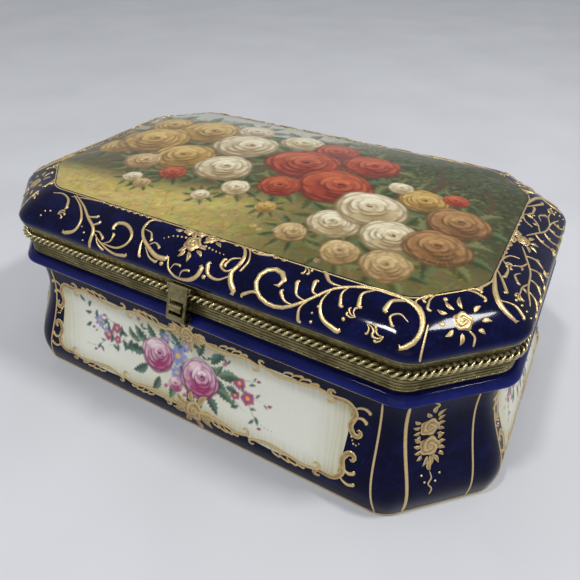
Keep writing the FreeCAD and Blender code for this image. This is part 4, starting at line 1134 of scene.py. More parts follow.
class TRINKET_OT_lid_gilding(bpy.types.Operator):
    """Raised gilding of the lid: scrolls, roses, sprays and the shell edging of the painting"""
    bl_idname = "trinket.lid_gilding"
    bl_label = "Lid Gilding"

    def execute(self, context):
        section = lid_section()
        gold = Gilder()
        columns = ring_columns()
        edge = section.length[-1]
        gold.hoop(section, edge - 0.4, 0.6, columns, 0.5)
        for face in range(FACES):
            chart = Chart(face, section)
            if face % 4 == 0:
                gild_lid_front(gold, chart)
                gold.shells(chart, -50.0, -24.0, edge - 1.2, lift=0.7)
                gold.shells(chart, 14.0, 36.0, edge - 1.2, lift=0.9)
                for side in (-1, 1):
                    gold.line(chart, [(side * 93.6, 1.0), (side * 93.2, 7.0), (side * 92.6, 13.0)],
                              0.9)
            elif face % 2 == 0:
                gild_lid_end(gold, chart)
                for side in (-1, 1):
                    gold.shells(chart, side * 14.0 - 5.0, side * 14.0 + 5.0, edge - 1.2, lift=0.8)
            else:
                gild_lid_corner(gold, chart)
        item = gold.pile.mesh("lid_gilding", [shared(raised_gold)], merge=True)
        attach(item, "lid")
        return {"FINISHED"}


# ---- enamel painting ---------------------------------------------------------------------------
STEM_GREEN = (0.04, 0.09, 0.06)


class Canvas:
    """A field of colours over a rectangle in millimetres, painted dab by dab."""

    def __init__(self, low, high, step, ground):
        self.low, self.step = np.array(low, float), step
        count = np.ceil((np.array(high) - low) / step).astype(int) + 1
        self.x = low[0] + step * np.arange(count[0])[None, :]
        self.y = low[1] + step * np.arange(count[1])[:, None]
        self.colours = np.empty((count[1], count[0], 3))
        self.colours[:] = ground

    def window(self, x, y, reach):
        """The part of the field within a distance of a point."""
        first = np.maximum(((np.array((x, y)) - reach - self.low) / self.step).astype(int), 0)
        last = np.maximum(((np.array((x, y)) + reach - self.low) / self.step).astype(int) + 2, 0)
        rows, columns = slice(first[1], last[1]), slice(first[0], last[0])
        return rows, columns, self.x[:, columns], self.y[rows]

    def blend(self, rows, columns, mask, colour):
        """Mix a colour in by a mask."""
        part = self.colours[rows, columns]
        part += (np.asarray(colour) - part) * mask[..., None]

    def wash(self, mask, colour):
        """Mix a colour in over the whole field by a mask."""
        self.colours += (np.asarray(colour) - self.colours) * np.clip(mask, 0, 1)[..., None]

    def dab(self, x, y, length, width, angle, colour, strength=1.0, soft=0.35):
        """An oval touch; its mask falls from 1 to 0 over the soft part of its radius."""
        rows, columns, px, py = self.window(x, y, max(length, width) / 2 + self.step)
        if not px.size or not py.size:
            return
        turn = math.radians(angle)
        u = ((px - x) * math.cos(turn) + (py - y) * math.sin(turn)) / (length / 2)
        v = (-(px - x) * math.sin(turn) + (py - y) * math.cos(turn)) / (width / 2)
        mask = np.clip((1 - np.sqrt(u * u + v * v)) / soft, 0, 1) * strength
        self.blend(rows, columns, mask, colour)

    def line(self, points, width, colour, strength=1.0, count=24, tip=0.3):
        """A thin brush line through points that tapers at both ends."""
        path = smooth(points, count)
        middle = (path.max(0) + path.min(0)) / 2
        reach = np.abs(path - middle).max() + width
        rows, columns, px, py = self.window(middle[0], middle[1], reach)
        if not px.size or not py.size:
            return
        size = width / 2 * (tip + (1 - tip) * np.sin(math.pi * np.linspace(0, 1, count)))
        gap = np.hypot(px[..., None] - path[:, 0], py[..., None] - path[:, 1]) - size
        mask = np.clip(0.5 - gap.min(-1) / self.step, 0, 1) * strength
        self.blend(rows, columns, mask, colour)

    def read(self, x, y):
        """Colours at points, mixed evenly from the four nearest."""
        u = np.clip((x - self.low[0]) / self.step, 0, self.colours.shape[1] - 1.001)
        v = np.clip((y - self.low[1]) / self.step, 0, self.colours.shape[0] - 1.001)
        i, j = v.astype(int), u.astype(int)
        a, b = (v - i)[..., None], (u - j)[..., None]
        grid = self.colours
        return ((1 - a) * (1 - b) * grid[i, j] + (1 - a) * b * grid[i, j + 1]
                + a * (1 - b) * grid[i + 1, j] + a * b * grid[i + 1, j + 1])

    def petal(self, x, y, radius, petal, colours, turn):
        """One petal of a rose: a shaded root, a body lit from the upper left and a pale lip."""
        dark, mid, pale = colours
        angle, gap, length, width, glow = petal
        bearing = math.radians(angle + turn)
        ax, ay = math.cos(bearing), math.sin(bearing)
        light = glow * (0.5 + 0.5 * math.cos(bearing - math.radians(120)))
        px, py = x + gap * radius * ax, y + 0.9 * gap * radius * ay
        lean = angle + turn + 90
        self.dab(px + 0.05 * radius * ax, py + 0.05 * radius * ay - 0.04 * radius,
                 length * radius * 1.10,
                 width * radius * 1.14, lean, dark * 0.8 + mid * 0.2, 0.85, 0.3)
        self.dab(px, py, length * radius, width * radius, lean, mid + (pale - mid) * light, 0.95,
                 0.28)
        self.dab(px - 0.30 * width * radius * ax, py - 0.30 * width * radius * ay,
                 length * radius * 0.8,
                 width * radius * 0.62, lean, dark * 0.45 + mid * 0.55, 0.75, 0.9)
        if radius > 8:
            for side in (-0.55, -0.2, 0.2, 0.6):
                root = (px - 0.40 * width * radius * ax, py - 0.40 * width * radius * ay)
                tip = (px + 0.36 * width * radius * ax - side * 0.7 * length * radius * ay * 0.55,
                       py + 0.36 * width * radius * ay + side * 0.7 * length * radius * ax * 0.55)
                self.line([root, tip], 0.03 * radius, dark * 0.3 + mid * 0.7, 0.55, 14)
        rim = 0.42 * width * radius
        lip = [(px + rim * ax * (1 - 0.5 * abs(side)) - side * 0.38 * length * radius * ay,
                py + rim * ay * (1 - 0.5 * abs(side)) + side * 0.38 * length * radius * ax)
               for side in (-1.0, -0.4, 0.3, 0.9)]
        self.line(lip, radius * 0.085 + 0.1, pale, 0.25 + 0.7 * light, 12)

    def rose(self, x, y, radius, colours, turn=0.0):
        """A full rose: a loose saucer of petals, and a shaded cup with its heart off the middle."""
        colours = [np.array(colour) for colour in colours]
        dark, mid, pale = colours
        self.dab(x, y, radius * 1.9, radius * 1.66, turn + 20, dark * 0.6 + mid * 0.4, 1.0, 0.2)
        if radius > 8:
            for angle, gap, length, width, glow in SAUCER[:7]:
                self.petal(x, y, radius, (angle + 26, gap * 1.22, length, width, glow * 0.8),
                           colours, turn)
        for petal in SAUCER:
            self.petal(x, y, radius, petal, colours, turn)
        hx = x + 0.12 * radius * math.cos(math.radians(turn * 1.7))
        hy = y + 0.10 * radius
        self.dab(hx, hy - 0.06 * radius, radius * 1.12, radius * 0.98, turn,
                 dark * 0.75 + mid * 0.25, 0.9, 0.5)
        for petal in CUP:
            self.petal(hx, hy, radius, petal, colours, turn)
        self.dab(hx, hy, radius * 0.36, radius * 0.26, turn, dark, 0.95, 0.6)
        wind = np.radians(turn + np.linspace(0, 500, 9))
        away = radius * np.linspace(0.34, 0.05, 9)
        self.line(list(zip(hx + away * np.cos(wind), hy + 0.86 * away * np.sin(wind))),
                  radius * 0.07 + 0.08, mid * 0.4 + pale * 0.6, 0.8, 40, 0.6)

    def daisy(self, x, y, radius, petal, heart, turn=0.0, count=6):
        """A small open flower."""
        petal = np.array(petal)
        for index in range(count):
            angle = turn + 360.0 * index / count
            radians = math.radians(angle)
            self.dab(x + 0.56 * radius * math.cos(radians), y + 0.56 * radius * math.sin(radians),
                     radius * 0.95, radius * 0.56, angle, petal * (0.86 + 0.14 * (index % 2)), 0.95,
                     0.4)
        self.dab(x, y, radius * 0.62, radius * 0.58, 0, heart, 1.0, 0.4)

    def leaf(self, x, y, length, angle, colour, vein=(0.02, 0.05, 0.04)):
        """A painted leaf with a toothed edge: half width 0.23 l sin(pi t^0.8), one half lighter."""
        colour = np.array(colour)
        turn = math.radians(angle)
        rows, columns, px, py = self.window(x, y, length * 1.05 + self.step)
        if not px.size or not py.size:
            return
        t = ((px - x) * math.cos(turn) + (py - y) * math.sin(turn)) / length
        v = (-(px - x) * math.sin(turn) + (py - y) * math.cos(turn)) / length
        v = v - 0.10 * np.sin(math.pi * np.clip(t, 0, 1))
        half = 0.23 * np.sin(math.pi * np.clip(t, 0, 1) ** 0.8) * (1 + 0.16 * np.cos(38 * t))
        mask = np.clip((half - np.abs(v)) * length / (1.2 * self.step), 0, 1) * ((t > 0) & (t < 1))
        lit = np.clip(0.5 + v * 9, 0, 1)[..., None]
        part = self.colours[rows, columns]
        part += (colour * (0.75 + 1.0 * lit) + 0.02 * lit - part) * (mask * 0.95)[..., None]
        rib = np.clip(0.5 - np.abs(v) * length / self.step, 0, 1) * (t > 0) * (t < 0.9)
        self.blend(rows, columns, rib * 0.7, vein)


# bearing, distance, length and width of the petals of a painted rose, and how much light they take
SAUCER = ((24, 0.62, 1.05, 0.66, 0.55), (78, 0.58, 1.10, 0.62, 0.75), (131, 0.60, 1.00, 0.70, 1.0),
          (187, 0.58, 1.12, 0.64, 0.8), (238, 0.64, 1.00, 0.62, 0.6), (291, 0.60, 1.16, 0.66, 0.7),
          (338, 0.66, 0.92, 0.58, 0.5), (105, 0.42, 0.80, 0.48, 1.0), (212, 0.44, 0.84, 0.46, 0.7))
CUP = ((95, 0.34, 0.86, 0.46, 1.0), (205, 0.36, 0.78, 0.42, 0.9), (318, 0.36, 0.84, 0.40, 1.1),
       (20, 0.26, 0.60, 0.32, 0.9), (150, 0.20, 0.56, 0.30, 1.0), (262, 0.20, 0.58, 0.28, 1.3))
MAGENTA = ((0.12, 0.008, 0.050), (0.38, 0.055, 0.185), (0.88, 0.70, 0.76))
CREAM = ((0.17, 0.10, 0.035), (0.50, 0.39, 0.20), (0.84, 0.77, 0.56))
SCARLET = ((0.085, 0.006, 0.003), (0.31, 0.032, 0.012), (0.56, 0.13, 0.050))
OCHRE = ((0.10, 0.050, 0.010), (0.36, 0.20, 0.036), (0.68, 0.47, 0.15))
RUSSET = ((0.06, 0.024, 0.009), (0.24, 0.105, 0.034), (0.46, 0.26, 0.10))
TAN = ((0.11, 0.055, 0.018), (0.38, 0.24, 0.095), (0.66, 0.49, 0.25))
LEAF_GREEN = (0.028, 0.078, 0.060)
MOSS_GREEN = (0.070, 0.125, 0.072)
LILAC = (0.27, 0.29, 0.56)
PINK = (0.46, 0.075, 0.21)
HEART = (0.72, 0.46, 0.08)


def paint_spray(canvas, x, s, way, size=1.0):
    """A side spray: small pink flowers, a bud and leaves on fine stems."""
    def spot(dx, ds):
        return x + way * dx * size, s + ds * size

    stem = STEM_GREEN
    canvas.line([spot(0, 0), spot(9, 2), spot(19, 0), spot(30, -1)], 0.5, stem)
    canvas.line([spot(8, 2), spot(13, -4), spot(20, -8)], 0.45, stem)
    canvas.line([spot(16, 0), spot(22, -5), spot(27, -12)], 0.42, stem)
    canvas.line([spot(12, 1), spot(17, 5), spot(23, 7)], 0.4, stem)
    for dx, ds, length, angle in ((0, 1.0, 8.0, 40), (1, 0.4, 8.6, -40), (4, 1.6, 7.4, 64),
                                  (5, 1.0, 8.0, -64),
                                  (8, 1.4, 6.6, 24), (9, -1.4, 6.0, -90), (11, 1.0, 5.6, 76),
                                  (14, -4.6, 5.0, -96), (17, -6.4, 4.6, -150), (20, 4.0, 4.0, 20),
                                  (22, -6.0, 3.8, 10), (25, -8.0, 4.6, -60), (25, -9.4, 4.2, -130),
                                  (24, -0.4, 3.6, 50), (28, -1.4, 3.0, -40), (18, -0.4, 4.4, 100),
                                  (22, 6.6, 3.0, 60), (6, -2.0, 5.0, -110)):
        px, ps = spot(dx, ds)
        tilt = angle if way > 0 else 180 - angle
        canvas.leaf(px, ps, length * size, tilt, LEAF_GREEN if dx % 2 else MOSS_GREEN)
    for dx, ds, radius in ((15.5, 3.4, 3.4), (20.4, -1.8, 3.8), (14.4, -2.6, 2.6)):
        px, ps = spot(dx, ds)
        canvas.dab(px, ps, 1.9 * radius * size, 1.7 * radius * size, 20, np.array(PINK) * 0.55, 0.9,
                   0.3)
        canvas.daisy(px, ps, radius * size, PINK, HEART, turn=dx * 13, count=5)
    for dx, ds in ((31.0, -1.2), (24.4, 7.6), (28.2, -12.6)):
        px, ps = spot(dx, ds)
        canvas.dab(px, ps, 2.6 * size, 1.7 * size, 30, PINK, 0.95, 0.4)
        canvas.dab(px - 0.5 * way, ps, 1.4 * size, 1.1 * size, 30, LEAF_GREEN, 0.8, 0.5)
    for index in range(5):
        px, ps = spot(27 + 1.7 * index, -10.0 - 0.75 * index + 0.12 * index ** 2)
        canvas.dab(px, ps, 0.95, 0.8, 0, (0.20, 0.24, 0.12), 0.7, 0.5)


# touches of a rose: place, length and width as shares of its radius, lean, colour, cover
ROSE_TOUCHES = (
    (0.25, -0.50, 1.35, 0.62, 14, (0.33, 0.02, 0.10), 0.55),
    (-0.34, 0.46, 0.95, 0.50, 28, (0.86, 0.70, 0.68), 0.70),
    (0.42, 0.34, 0.60, 0.30, -38, (0.80, 0.52, 0.56), 0.55),
)


def paint_bouquet(canvas, x, s, size=1.0):
    """Two full magenta roses with lilac and leaves: the middle of a reserve."""
    def spot(dx, ds):
        return x + dx * size, s + ds * size

    for dx, ds, length, angle in ((-18, 4, 11, 140), (-19, 0, 10, 178), (-17, -5, 10, 215),
                                  (-10, -8, 9, 245), (-3, -8, 9, 262), (5, -8, 10, 280),
                                  (14, -7, 10, 312),
                                  (18, -3, 10, 340), (18, 3, 11, 14), (14, 7, 10, 44),
                                  (8, 8, 10, 70),
                                  (1, 7, 11, 88), (-8, 7, 10, 108), (-14, 7, 9, 122),
                                  (-4, 4, 9, 60),
                                  (-22, 5, 6, 110), (22, 0, 7, 350), (11, -9, 8, 262),
                                  (-6, 3, 8, 230),
                                  (-1, 1, 9, 300), (-2, 10, 7, 130), (5, 11, 7, 40)):
        px, ps = spot(dx, ds)
        canvas.leaf(px, ps, length * size, angle, LEAF_GREEN if int(dx) % 3 else MOSS_GREEN)
    for points in (((-16, 6), (-22, 10), (-25, 16)), ((12, 8), (18, 11), (22, 10)),
                   ((-4, 9), (-8, 14), (-14, 15))):
        path = [spot(*point) for point in points]
        canvas.line(path, 0.45, STEM_GREEN)
        for (px, ps), lean in zip(path * 2, (40, 80, 120, 150, 10, 60)):
            canvas.leaf(px, ps, 3.4 * size, lean, LEAF_GREEN)
    for dx, ds, radius in ((-2.4, 4.4, 5.2), (1.6, 10.4, 3.2), (-9.0, 10.4, 2.8),
                           (-2.0, -3.2, 3.4)):
        px, ps = spot(dx, ds)
        canvas.dab(px, ps, 1.7 * radius * size, 1.6 * radius * size, 10, (0.16, 0.18, 0.42), 0.7,
                   0.4)
        canvas.daisy(px, ps, radius * size, LILAC, HEART, turn=dx * 17, count=7)
    for dx, ds, radius, turn in ((-1.6, -8.4, 3.8, 70), (-12.8, 1.4, 7.9, 12),
                                 (9.6, -1.4, 8.8, 200)):
        px, ps = spot(dx, ds)
        full = radius * size
        canvas.rose(px, ps, full, MAGENTA, turn)
        for right, up, length, width, lean, colour, cover in ROSE_TOUCHES:
            canvas.dab(px + right * full, ps + up * full, length * full, width * full, lean, colour,
                       cover, 0.6)
    for dx, ds in ((-6.4, -11.0), (3.6, -11.4), (20.6, 9.6), (-23.6, 14.4)):
        px, ps = spot(dx, ds)
        canvas.dab(px, ps, 3.0 * size, 2.2 * size, 40, PINK, 0.9, 0.4)


def shade_reserve(canvas, half):
    """Yellowish shade that the white ground takes on towards the frame, in fine upright strokes."""
    foot, top = SHADE_FOOT, SHADE_TOP
    near = np.clip((np.abs(canvas.x + half / 26) - (half - 20)) / 17, 0, 1)
    edge = np.clip(np.maximum(canvas.y - (top - 9), (foot + 9) - canvas.y) / 9, 0, 1)
    stroke = 0.78 + 0.22 * np.sin(2.9 * canvas.x + 1.7 * np.sin(0.83 * canvas.x) + 0.3 * canvas.y)
    centre = np.exp(-((canvas.x + 4) / 27) ** 2) * (0.25 + 0.5 * edge)
    mask = np.clip((near ** 1.6 * 0.66 + edge ** 1.4 * 0.66) * stroke + centre, 0, 0.88)
    canvas.wash(mask, (0.43, 0.385, 0.17))


def paint_long_reserve(step):
    """Painting of a long side of the lower box."""
    canvas = Canvas((-80.0, FIELD_FOOT), (80.0, FIELD_TOP), step, settings("glaze").porcelain)
    shade_reserve(canvas, 78.0)
    paint_spray(canvas, 8.0, 31.0, 1)
    paint_spray(canvas, -30.0, 32.0, -1, 0.92)
    canvas.daisy(-55.0, 35.4, 3.6, LILAC, HEART, 20, 7)
    canvas.daisy(-50.4, 31.6, 2.4, LILAC, HEART, 50, 6)
    canvas.line([(-64.0, 42.0), (-57.0, 36.0), (-48.0, 32.0), (-34.0, 31.0)], 0.5, STEM_GREEN)
    for x, s, angle in ((-64, 42, 130), (-62, 40, 60), (-60, 38, 190), (-57, 36, 80),
                        (-60, 33, 220),
                        (-52, 34, 60), (-48, 32, 110), (-46, 31, 250), (-42, 31, 70),
                        (-40, 31, 290)):
        canvas.leaf(x, s, 5.0, angle, LEAF_GREEN)
    paint_bouquet(canvas, -6.0, 30.0, 1.05)
    return canvas


def paint_short_reserve(step):
    """Painting of a narrow side of the lower box."""
    canvas = Canvas((-38.0, FIELD_FOOT), (38.0, FIELD_TOP), step, settings("glaze").porcelain)
    shade_reserve(canvas, 35.0)
    paint_spray(canvas, 5.0, 30.0, 1, 0.72)
    paint_spray(canvas, -7.0, 30.0, -1, 0.72)
    paint_bouquet(canvas, 0.0, 30.0, 0.74)
    return canvas


def paint_landscape(step, seed):
    """Painting of the lid: full garden blooms in a wooded meadow under a hazy sky."""
    random = np.random.default_rng(seed)
    canvas = Canvas((-106.0, -62.0), (106.0, 62.0), step, (0.085, 0.078, 0.028))
    x, y = canvas.x, canvas.y
    sky = 1 / (1 + np.exp(-(y - 26 - 0.10 * x + 5 * np.sin(x / 17)) / 4)) * np.clip((34 - x) / 40,
                                                                                    0, 1)
    canvas.wash(np.clip((-22 - y + 0.28 * np.maximum(x, -50)) / 12, 0, 1)
                * np.clip((50 - x) / 70, 0, 1), (0.46, 0.36, 0.105))
    canvas.wash(np.clip((-28 - y) / 14, 0, 1) * np.clip((x - 10) / 50, 0, 1), (0.13, 0.115, 0.036))
    canvas.wash(np.clip((x - 5) / 40, 0, 1) * np.clip((y + 40) / 40, 0, 1), (0.034, 0.042, 0.014))
    canvas.wash(np.clip(1 - np.abs(y + 40 - 0.3 * x) / 5, 0, 1) * np.clip((20 - x) / 60, 0, 0.5),
                (0.56, 0.46, 0.16))
    canvas.wash(sky, (0.46, 0.46, 0.36))
    canvas.wash(sky * np.clip((y - 40) / 20, 0, 1) * np.clip((-x) / 90, 0, 1), (0.34, 0.40, 0.42))
    count = 5200
    places = np.column_stack([random.uniform(-105, 105, count), random.uniform(-61, 61, count)])
    lengths, widths = random.uniform(3.5, 9, count), random.uniform(0.9, 2.0, count)
    jitter = random.normal(1.0, 0.20, (count, 3)) + random.normal(0, 0.10, (count, 1))
    leans = random.normal(0, 18, count)
    colours = canvas.read(places[:, 0], places[:, 1]) * np.clip(jitter, 0.45, 1.7)
    for place, length, width, lean, colour in zip(places, lengths, widths, leans, colours):
        slope = lean + (70 if place[0] > 20 and place[1] > -20 else 8)
        canvas.dab(place[0], place[1], length, width, slope, colour, 0.75, 0.6)
    # distant trees on the left, a dark wood on the right
    for cx, cy, rx, ry, tint, number in (
            (-88, 34, 16, 9, (0.13, 0.15, 0.08), 220), (-58, 40, 12, 7, (0.17, 0.19, 0.11), 160),
            (38, 46, 24, 13, (0.055, 0.062, 0.020), 520),
                                         (72, 36, 26, 18, (0.040, 0.052, 0.016), 760),
            (92, 6, 13, 22, (0.050, 0.058, 0.018), 420),
                                         (58, 18, 20, 12, (0.070, 0.072, 0.022), 380),
            (20, 50, 12, 8, (0.10, 0.095, 0.040), 180)):
        spread = random.normal(0, 0.5, (number, 2)) * (rx, ry)
        tone = random.uniform(0.45, 2.1, number)
        turn = random.uniform(0, 180, number)
        for (dx, dy), share, angle in zip(spread, tone, turn):
            canvas.dab(cx + dx, cy + dy, 3.2, 1.6, angle, np.array(tint) * share, 0.85, 0.5)
    for points, width in ((((64, 4), (68, 22), (62, 44)), 3.2), (((68, 22), (80, 38)), 1.8),
                          (((88, -8), (92, 14), (86, 34)), 2.4)):
        canvas.line(points, width, (0.075, 0.045, 0.02), 0.9, 30, 0.6)
    # blooms: golden on the left, cream, scarlet in the middle, cream, tan and russet in front
    blooms = (
        (-90, -12, 10, OCHRE), (-86, 26, 12, OCHRE), (-60, 26, 17, OCHRE), (-78, 3, 18, OCHRE),
        (-50, -9, 15, OCHRE), (-64, -22, 9, TAN), (-38, 38, 10, CREAM), (-8, 36, 11, CREAM),
        (-30, 16, 16, CREAM), (-24, -12, 13, CREAM), (-42, -27, 7, SCARLET), (12, 34, 11, SCARLET),
        (34, 25, 13, SCARLET), (6, 10, 17, SCARLET), (29, -4, 16, SCARLET), (8, -16, 9, SCARLET),
        (-8, -26, 7, CREAM), (42, -32, 10, CREAM), (50, -14, 14, CREAM), (64, -30, 11, CREAM),
        (30, -45, 7, TAN), (52, -48, 8, TAN), (70, -48, 9, TAN), (66, 4, 10, OCHRE),
        (84, -6, 12, RUSSET), (82, -28, 12, RUSSET), (54, 10, 6, CREAM), (78, 12, 6, SCARLET),
        (-56, -38, 5, CREAM), (-48, -41, 4.4, TAN), (-18, -38, 4.6, CREAM), (12, -34, 5, OCHRE))
    for fx, fy, radius, colours in blooms:
        for index in range(8):
            angle = 45 * index + fx
            radians = math.radians(angle)
            canvas.leaf(fx + 0.72 * radius * math.cos(radians),
                        fy + 0.72 * radius * math.sin(radians),
                        min(radius * 1.2, 9 + radius * 0.4), angle + 20 * math.sin(fy + index),
                        ((0.045, 0.066, 0.020), (0.085, 0.090, 0.026))[index % 2],
                        (0.02, 0.03, 0.01))
    for fx, fy, radius, colours in blooms:
        canvas.rose(fx, fy, radius, colours, turn=fx * 7.0)
        canvas.dab(fx - 0.30 * radius, fy + 0.36 * radius, 1.3 * radius, 0.8 * radius, 20,
                   colours[2], 0.38, 0.9)
        canvas.dab(fx + 0.40 * radius, fy - 0.52 * radius, 1.4 * radius, 0.75 * radius, 24,
                   colours[0], 0.50, 0.9)
    blades = np.column_stack([random.uniform(-96, 96, 420), random.uniform(-60, -30, 420)])
    greens = random.uniform(0.5, 1.6, 420)
    for (bx, by), share in zip(blades, greens):
        tip = (bx + random.normal(0, 1.2), by + random.uniform(2, 4.6))
        canvas.line([(bx, by), tip], 0.5, np.array((0.17, 0.15, 0.045)) * share, 0.7, 8)
    for bx, by in zip(random.uniform(-90, 90, 18), random.uniform(-56, -46, 18)):
        tint = ((0.62, 0.50, 0.28), (0.56, 0.30, 0.16), (0.62, 0.40, 0.10))[int(bx) % 3]
        canvas.daisy(bx, by, 1.3, tint, (0.25, 0.12, 0.03), bx * 9, 5)
    # painted reflection: a pale wash over the sky at the back-left edge of the picture, the hazy
    # sheen of the glaze there
    painted_sheen = np.exp(-(((x + 60) / 60) ** 2 + ((y - 60) / 22) ** 2))
    canvas.wash(0.35 * painted_sheen, (0.46, 0.48, 0.44))
    canvas.colours *= 0.86
    # a last pass of short touches breaks the edges up as a brush does
    count = 6500
    places = np.column_stack([random.uniform(-104, 104, count), random.uniform(-60, 60, count)])
    colours = canvas.read(places[:, 0], places[:, 1]) * np.clip(random.normal(1, 0.09, (count, 1)),
                                                                0.7, 1.4)
    lengths, turns = random.uniform(1.2, 3.2, count), random.normal(30, 40, count)
    for place, length, turn, colour in zip(places, lengths, turns, colours):
        canvas.dab(place[0], place[1], length, length * 0.42, turn, colour, 0.6, 0.7)
    return canvas


def octagon_gap(x, y, ring):
    """Distance of points outside a rounded octagon, negative inside.

    It is the largest of the distances to the sides of the octagon shrunk by its radius, or the
    distance to the corner between two of them, less the radius.
    """
    length, width, corner, radius = (ring[..., index] for index in range(4))
    sides = (np.abs(y) - (width - radius), (np.abs(x) + np.abs(y)) / ROOT2 - (corner - radius),
             np.abs(x) - (length - radius))
    gap = np.maximum(np.maximum(sides[0], sides[1]), sides[2])
    for first, second in ((0, 1), (1, 2)):
        a, b = sides[first], sides[second]
        round_off = np.sqrt(np.maximum(2 * (a * a + b * b - ROOT2 * a * b), 0))
        gap = np.where((a > b / ROOT2) & (b > a / ROOT2), round_off, gap)
    return gap - radius


def lid_height(x, y, rings):
    """Height of the dome: the ring through a point is found by halving its range."""
    low, high = np.zeros(x.shape), np.full(x.shape, len(rings) - 1.0)
    spots = np.arange(len(rings))
    for _ in range(24):
        middle = (low + high) / 2
        ring = np.stack([np.interp(middle, spots, rings[:, index]) for index in range(4)], -1)
        inside = octagon_gap(x, y, ring) < 0
        low = np.where(inside, middle, low)
        high = np.where(inside, high, middle)
    return np.interp((low + high) / 2, spots, rings[:, 4])


class TRINKET_OT_lid_painting(bpy.types.Operator):
    """Enamel painting on the dome of the lid, in three sheets"""
    bl_idname = "trinket.lid_painting"
    bl_label = "Lid Painting"

    def execute(self, context):
        look = settings("paint")
        step = look.step / MM
        canvas = paint_landscape(step, look.seed)
        rings = lid_rings()
        border = rings[BORDER_ROW] - (0.25, 0.25, 0.25, 0.25, 0.0)
        y = np.linspace(-border[1] + 0.05, border[1] - 0.05, int(2 * border[1] / step))
        low, high = np.zeros(len(y)), np.full(len(y), border[0])
        for _ in range(30):
            middle = (low + high) / 2
            inside = octagon_gap(middle, y, border) < 0
            low, high = np.where(inside, middle, low), np.where(inside, high, middle)
        share = np.linspace(-1, 1, int(2 * border[0] / step))[None, :]
        x = low[:, None] * share
        y = np.broadcast_to(y[:, None], x.shape)
        points = np.stack([x, y, lid_height(x, y, rings[BORDER_ROW:]) + 0.07], -1)
        cuts = np.linspace(0, x.shape[1] - 1, 4).astype(int)
        for index, (first, last) in enumerate(zip(cuts[:-1], cuts[1:])):
            pile = Pile()
            part = points[:, first:last + 1]
            pile.grid(part)
            colours = canvas.read(part[..., 0], part[..., 1]).reshape(-1, 3)
            item = pile.mesh("lid_painting_%d" % (index + 1), [shared(enamel_paint)],
                             np.clip(colours, 0, 1))
            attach(item, "lid")
        return {"FINISHED"}


def reserve(name, face, ends, canvas):
    """White painted field on a side of the lower box.

    Columns u and rows v run from -1 to 1; the ends draw in as v^8 and both edges swell in waves.
    """
    step = canvas.step
    chart = Chart(face, wall_section())
    half = (ends[1] - ends[0]) / 2
    u = np.linspace(-1, 1, int(2 * half / step))[None, :]
    v = np.linspace(-1, 1, int(2 * RESERVE_HALF / step))[:, None]
    x = (ends[0] + ends[1]) / 2 + half * u * (1 - 0.012 * v ** 8)
    wave = 0.45 * np.sin(9 * np.abs(u) ** 1.2 * math.pi / 2)
    s = RESERVE_MIDDLE + v * (RESERVE_HALF - 1.2 * u ** 12 + wave)
    pile = Pile()
    pile.grid(chart.at(x, s, SHEET_LIFT))
    colours = canvas.read(*np.broadcast_arrays(x, s)).reshape(-1, 3)
    item = pile.mesh(name, [shared(enamel_paint)], np.clip(colours, 0, 1))
    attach(item, "base")


class TRINKET_OT_reserves(bpy.types.Operator):
    """White reserves with painted roses on the four sides of the lower box"""
    bl_idname = "trinket.reserves"
    bl_label = "Painted Reserves"

    def execute(self, context):
        step = settings("paint").step / MM
        long_side, short_side = paint_long_reserve(step), paint_short_reserve(step)
        reserve("front_reserve", 0, LONG_RESERVE, long_side)
        reserve("back_reserve", 4, LONG_RESERVE, long_side)
        reserve("right_reserve", 2, SHORT_RESERVE, short_side)
        reserve("left_reserve", 6, SHORT_RESERVE, short_side)
        return {"FINISHED"}


# ---- brass -------------------------------------------------------------------------------------
class TRINKET_OT_rope(bpy.types.Operator):
    """Two-strand rope moulding round the rim of the lid, open at the hinge"""
    bl_idname = "trinket.rope"
    bl_label = "Rope Moulding"

    def execute(self, context):
        lay = settings("brass").rope_lay / MM
        ring = ring_grid(rim_rings([0.0], [ROPE_LEVEL]), ring_columns((120, 40, 60), 14))[0, :, :2]
        back = int(np.argmin(np.hypot(ring[:, 0], ring[:, 1] - RIM_WIDTH)))
        loop = np.vstack([np.roll(ring, -back, axis=0), ring[back:back + 1]])
        walked = np.concatenate([[0], np.cumsum(np.hypot(*np.diff(loop, axis=0).T))])
        gap = HINGE_HALF + 0.4
        along = np.linspace(gap, walked[-1] - gap, int((walked[-1] - 2 * gap) / lay * 12))
        line = np.column_stack([np.interp(along, walked, loop[:, axis]) for axis in (0, 1)])
        heading = np.gradient(line, axis=0)
        heading /= np.hypot(*heading.T)[:, None]
        outward = np.column_stack([heading[:, 1], -heading[:, 0], np.zeros(len(line))])
        upward = np.array([0.0, 0.0, 1.0])
        centre = np.column_stack([line, np.full(len(line), ROPE_LEVEL)])
        strand = ROPE_RADIUS * 0.52
        swing = ROPE_RADIUS - strand
        closing = np.minimum(1, np.minimum(along - along[0], along[-1] - along) / 0.5)[:, None,
                                                                                       None]
        around = np.linspace(0, 2 * math.pi, 10)[None, :-1, None]
        pile = Pile()
        for start in (0.0, math.pi):
            turn = (2 * math.pi * along / lay + start)[:, None]
            middle = centre + swing * (np.cos(turn) * outward + np.sin(turn) * upward)
            skin = np.cos(around) * outward[:, None] + np.sin(around) * upward
            points = middle[:, None] + strand * closing * skin
            reach = np.linalg.norm(points - centre[:, None], axis=-1) / ROPE_RADIUS
            # tone for painted shade: low towards the rope's middle, where the strands meet, high on
            # their outer sides
            tone = np.clip((reach - 0.55) / 0.40, 0, 1)
            pile.grid(points[:, ::-1], tone=tone[:, ::-1], around=True)
        item = pile.mesh("lid_rope_twist", [shared(bright_rope)], merge=True)
        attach(item, "lid")
        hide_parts("lid_rope")
        return {"FINISHED"}


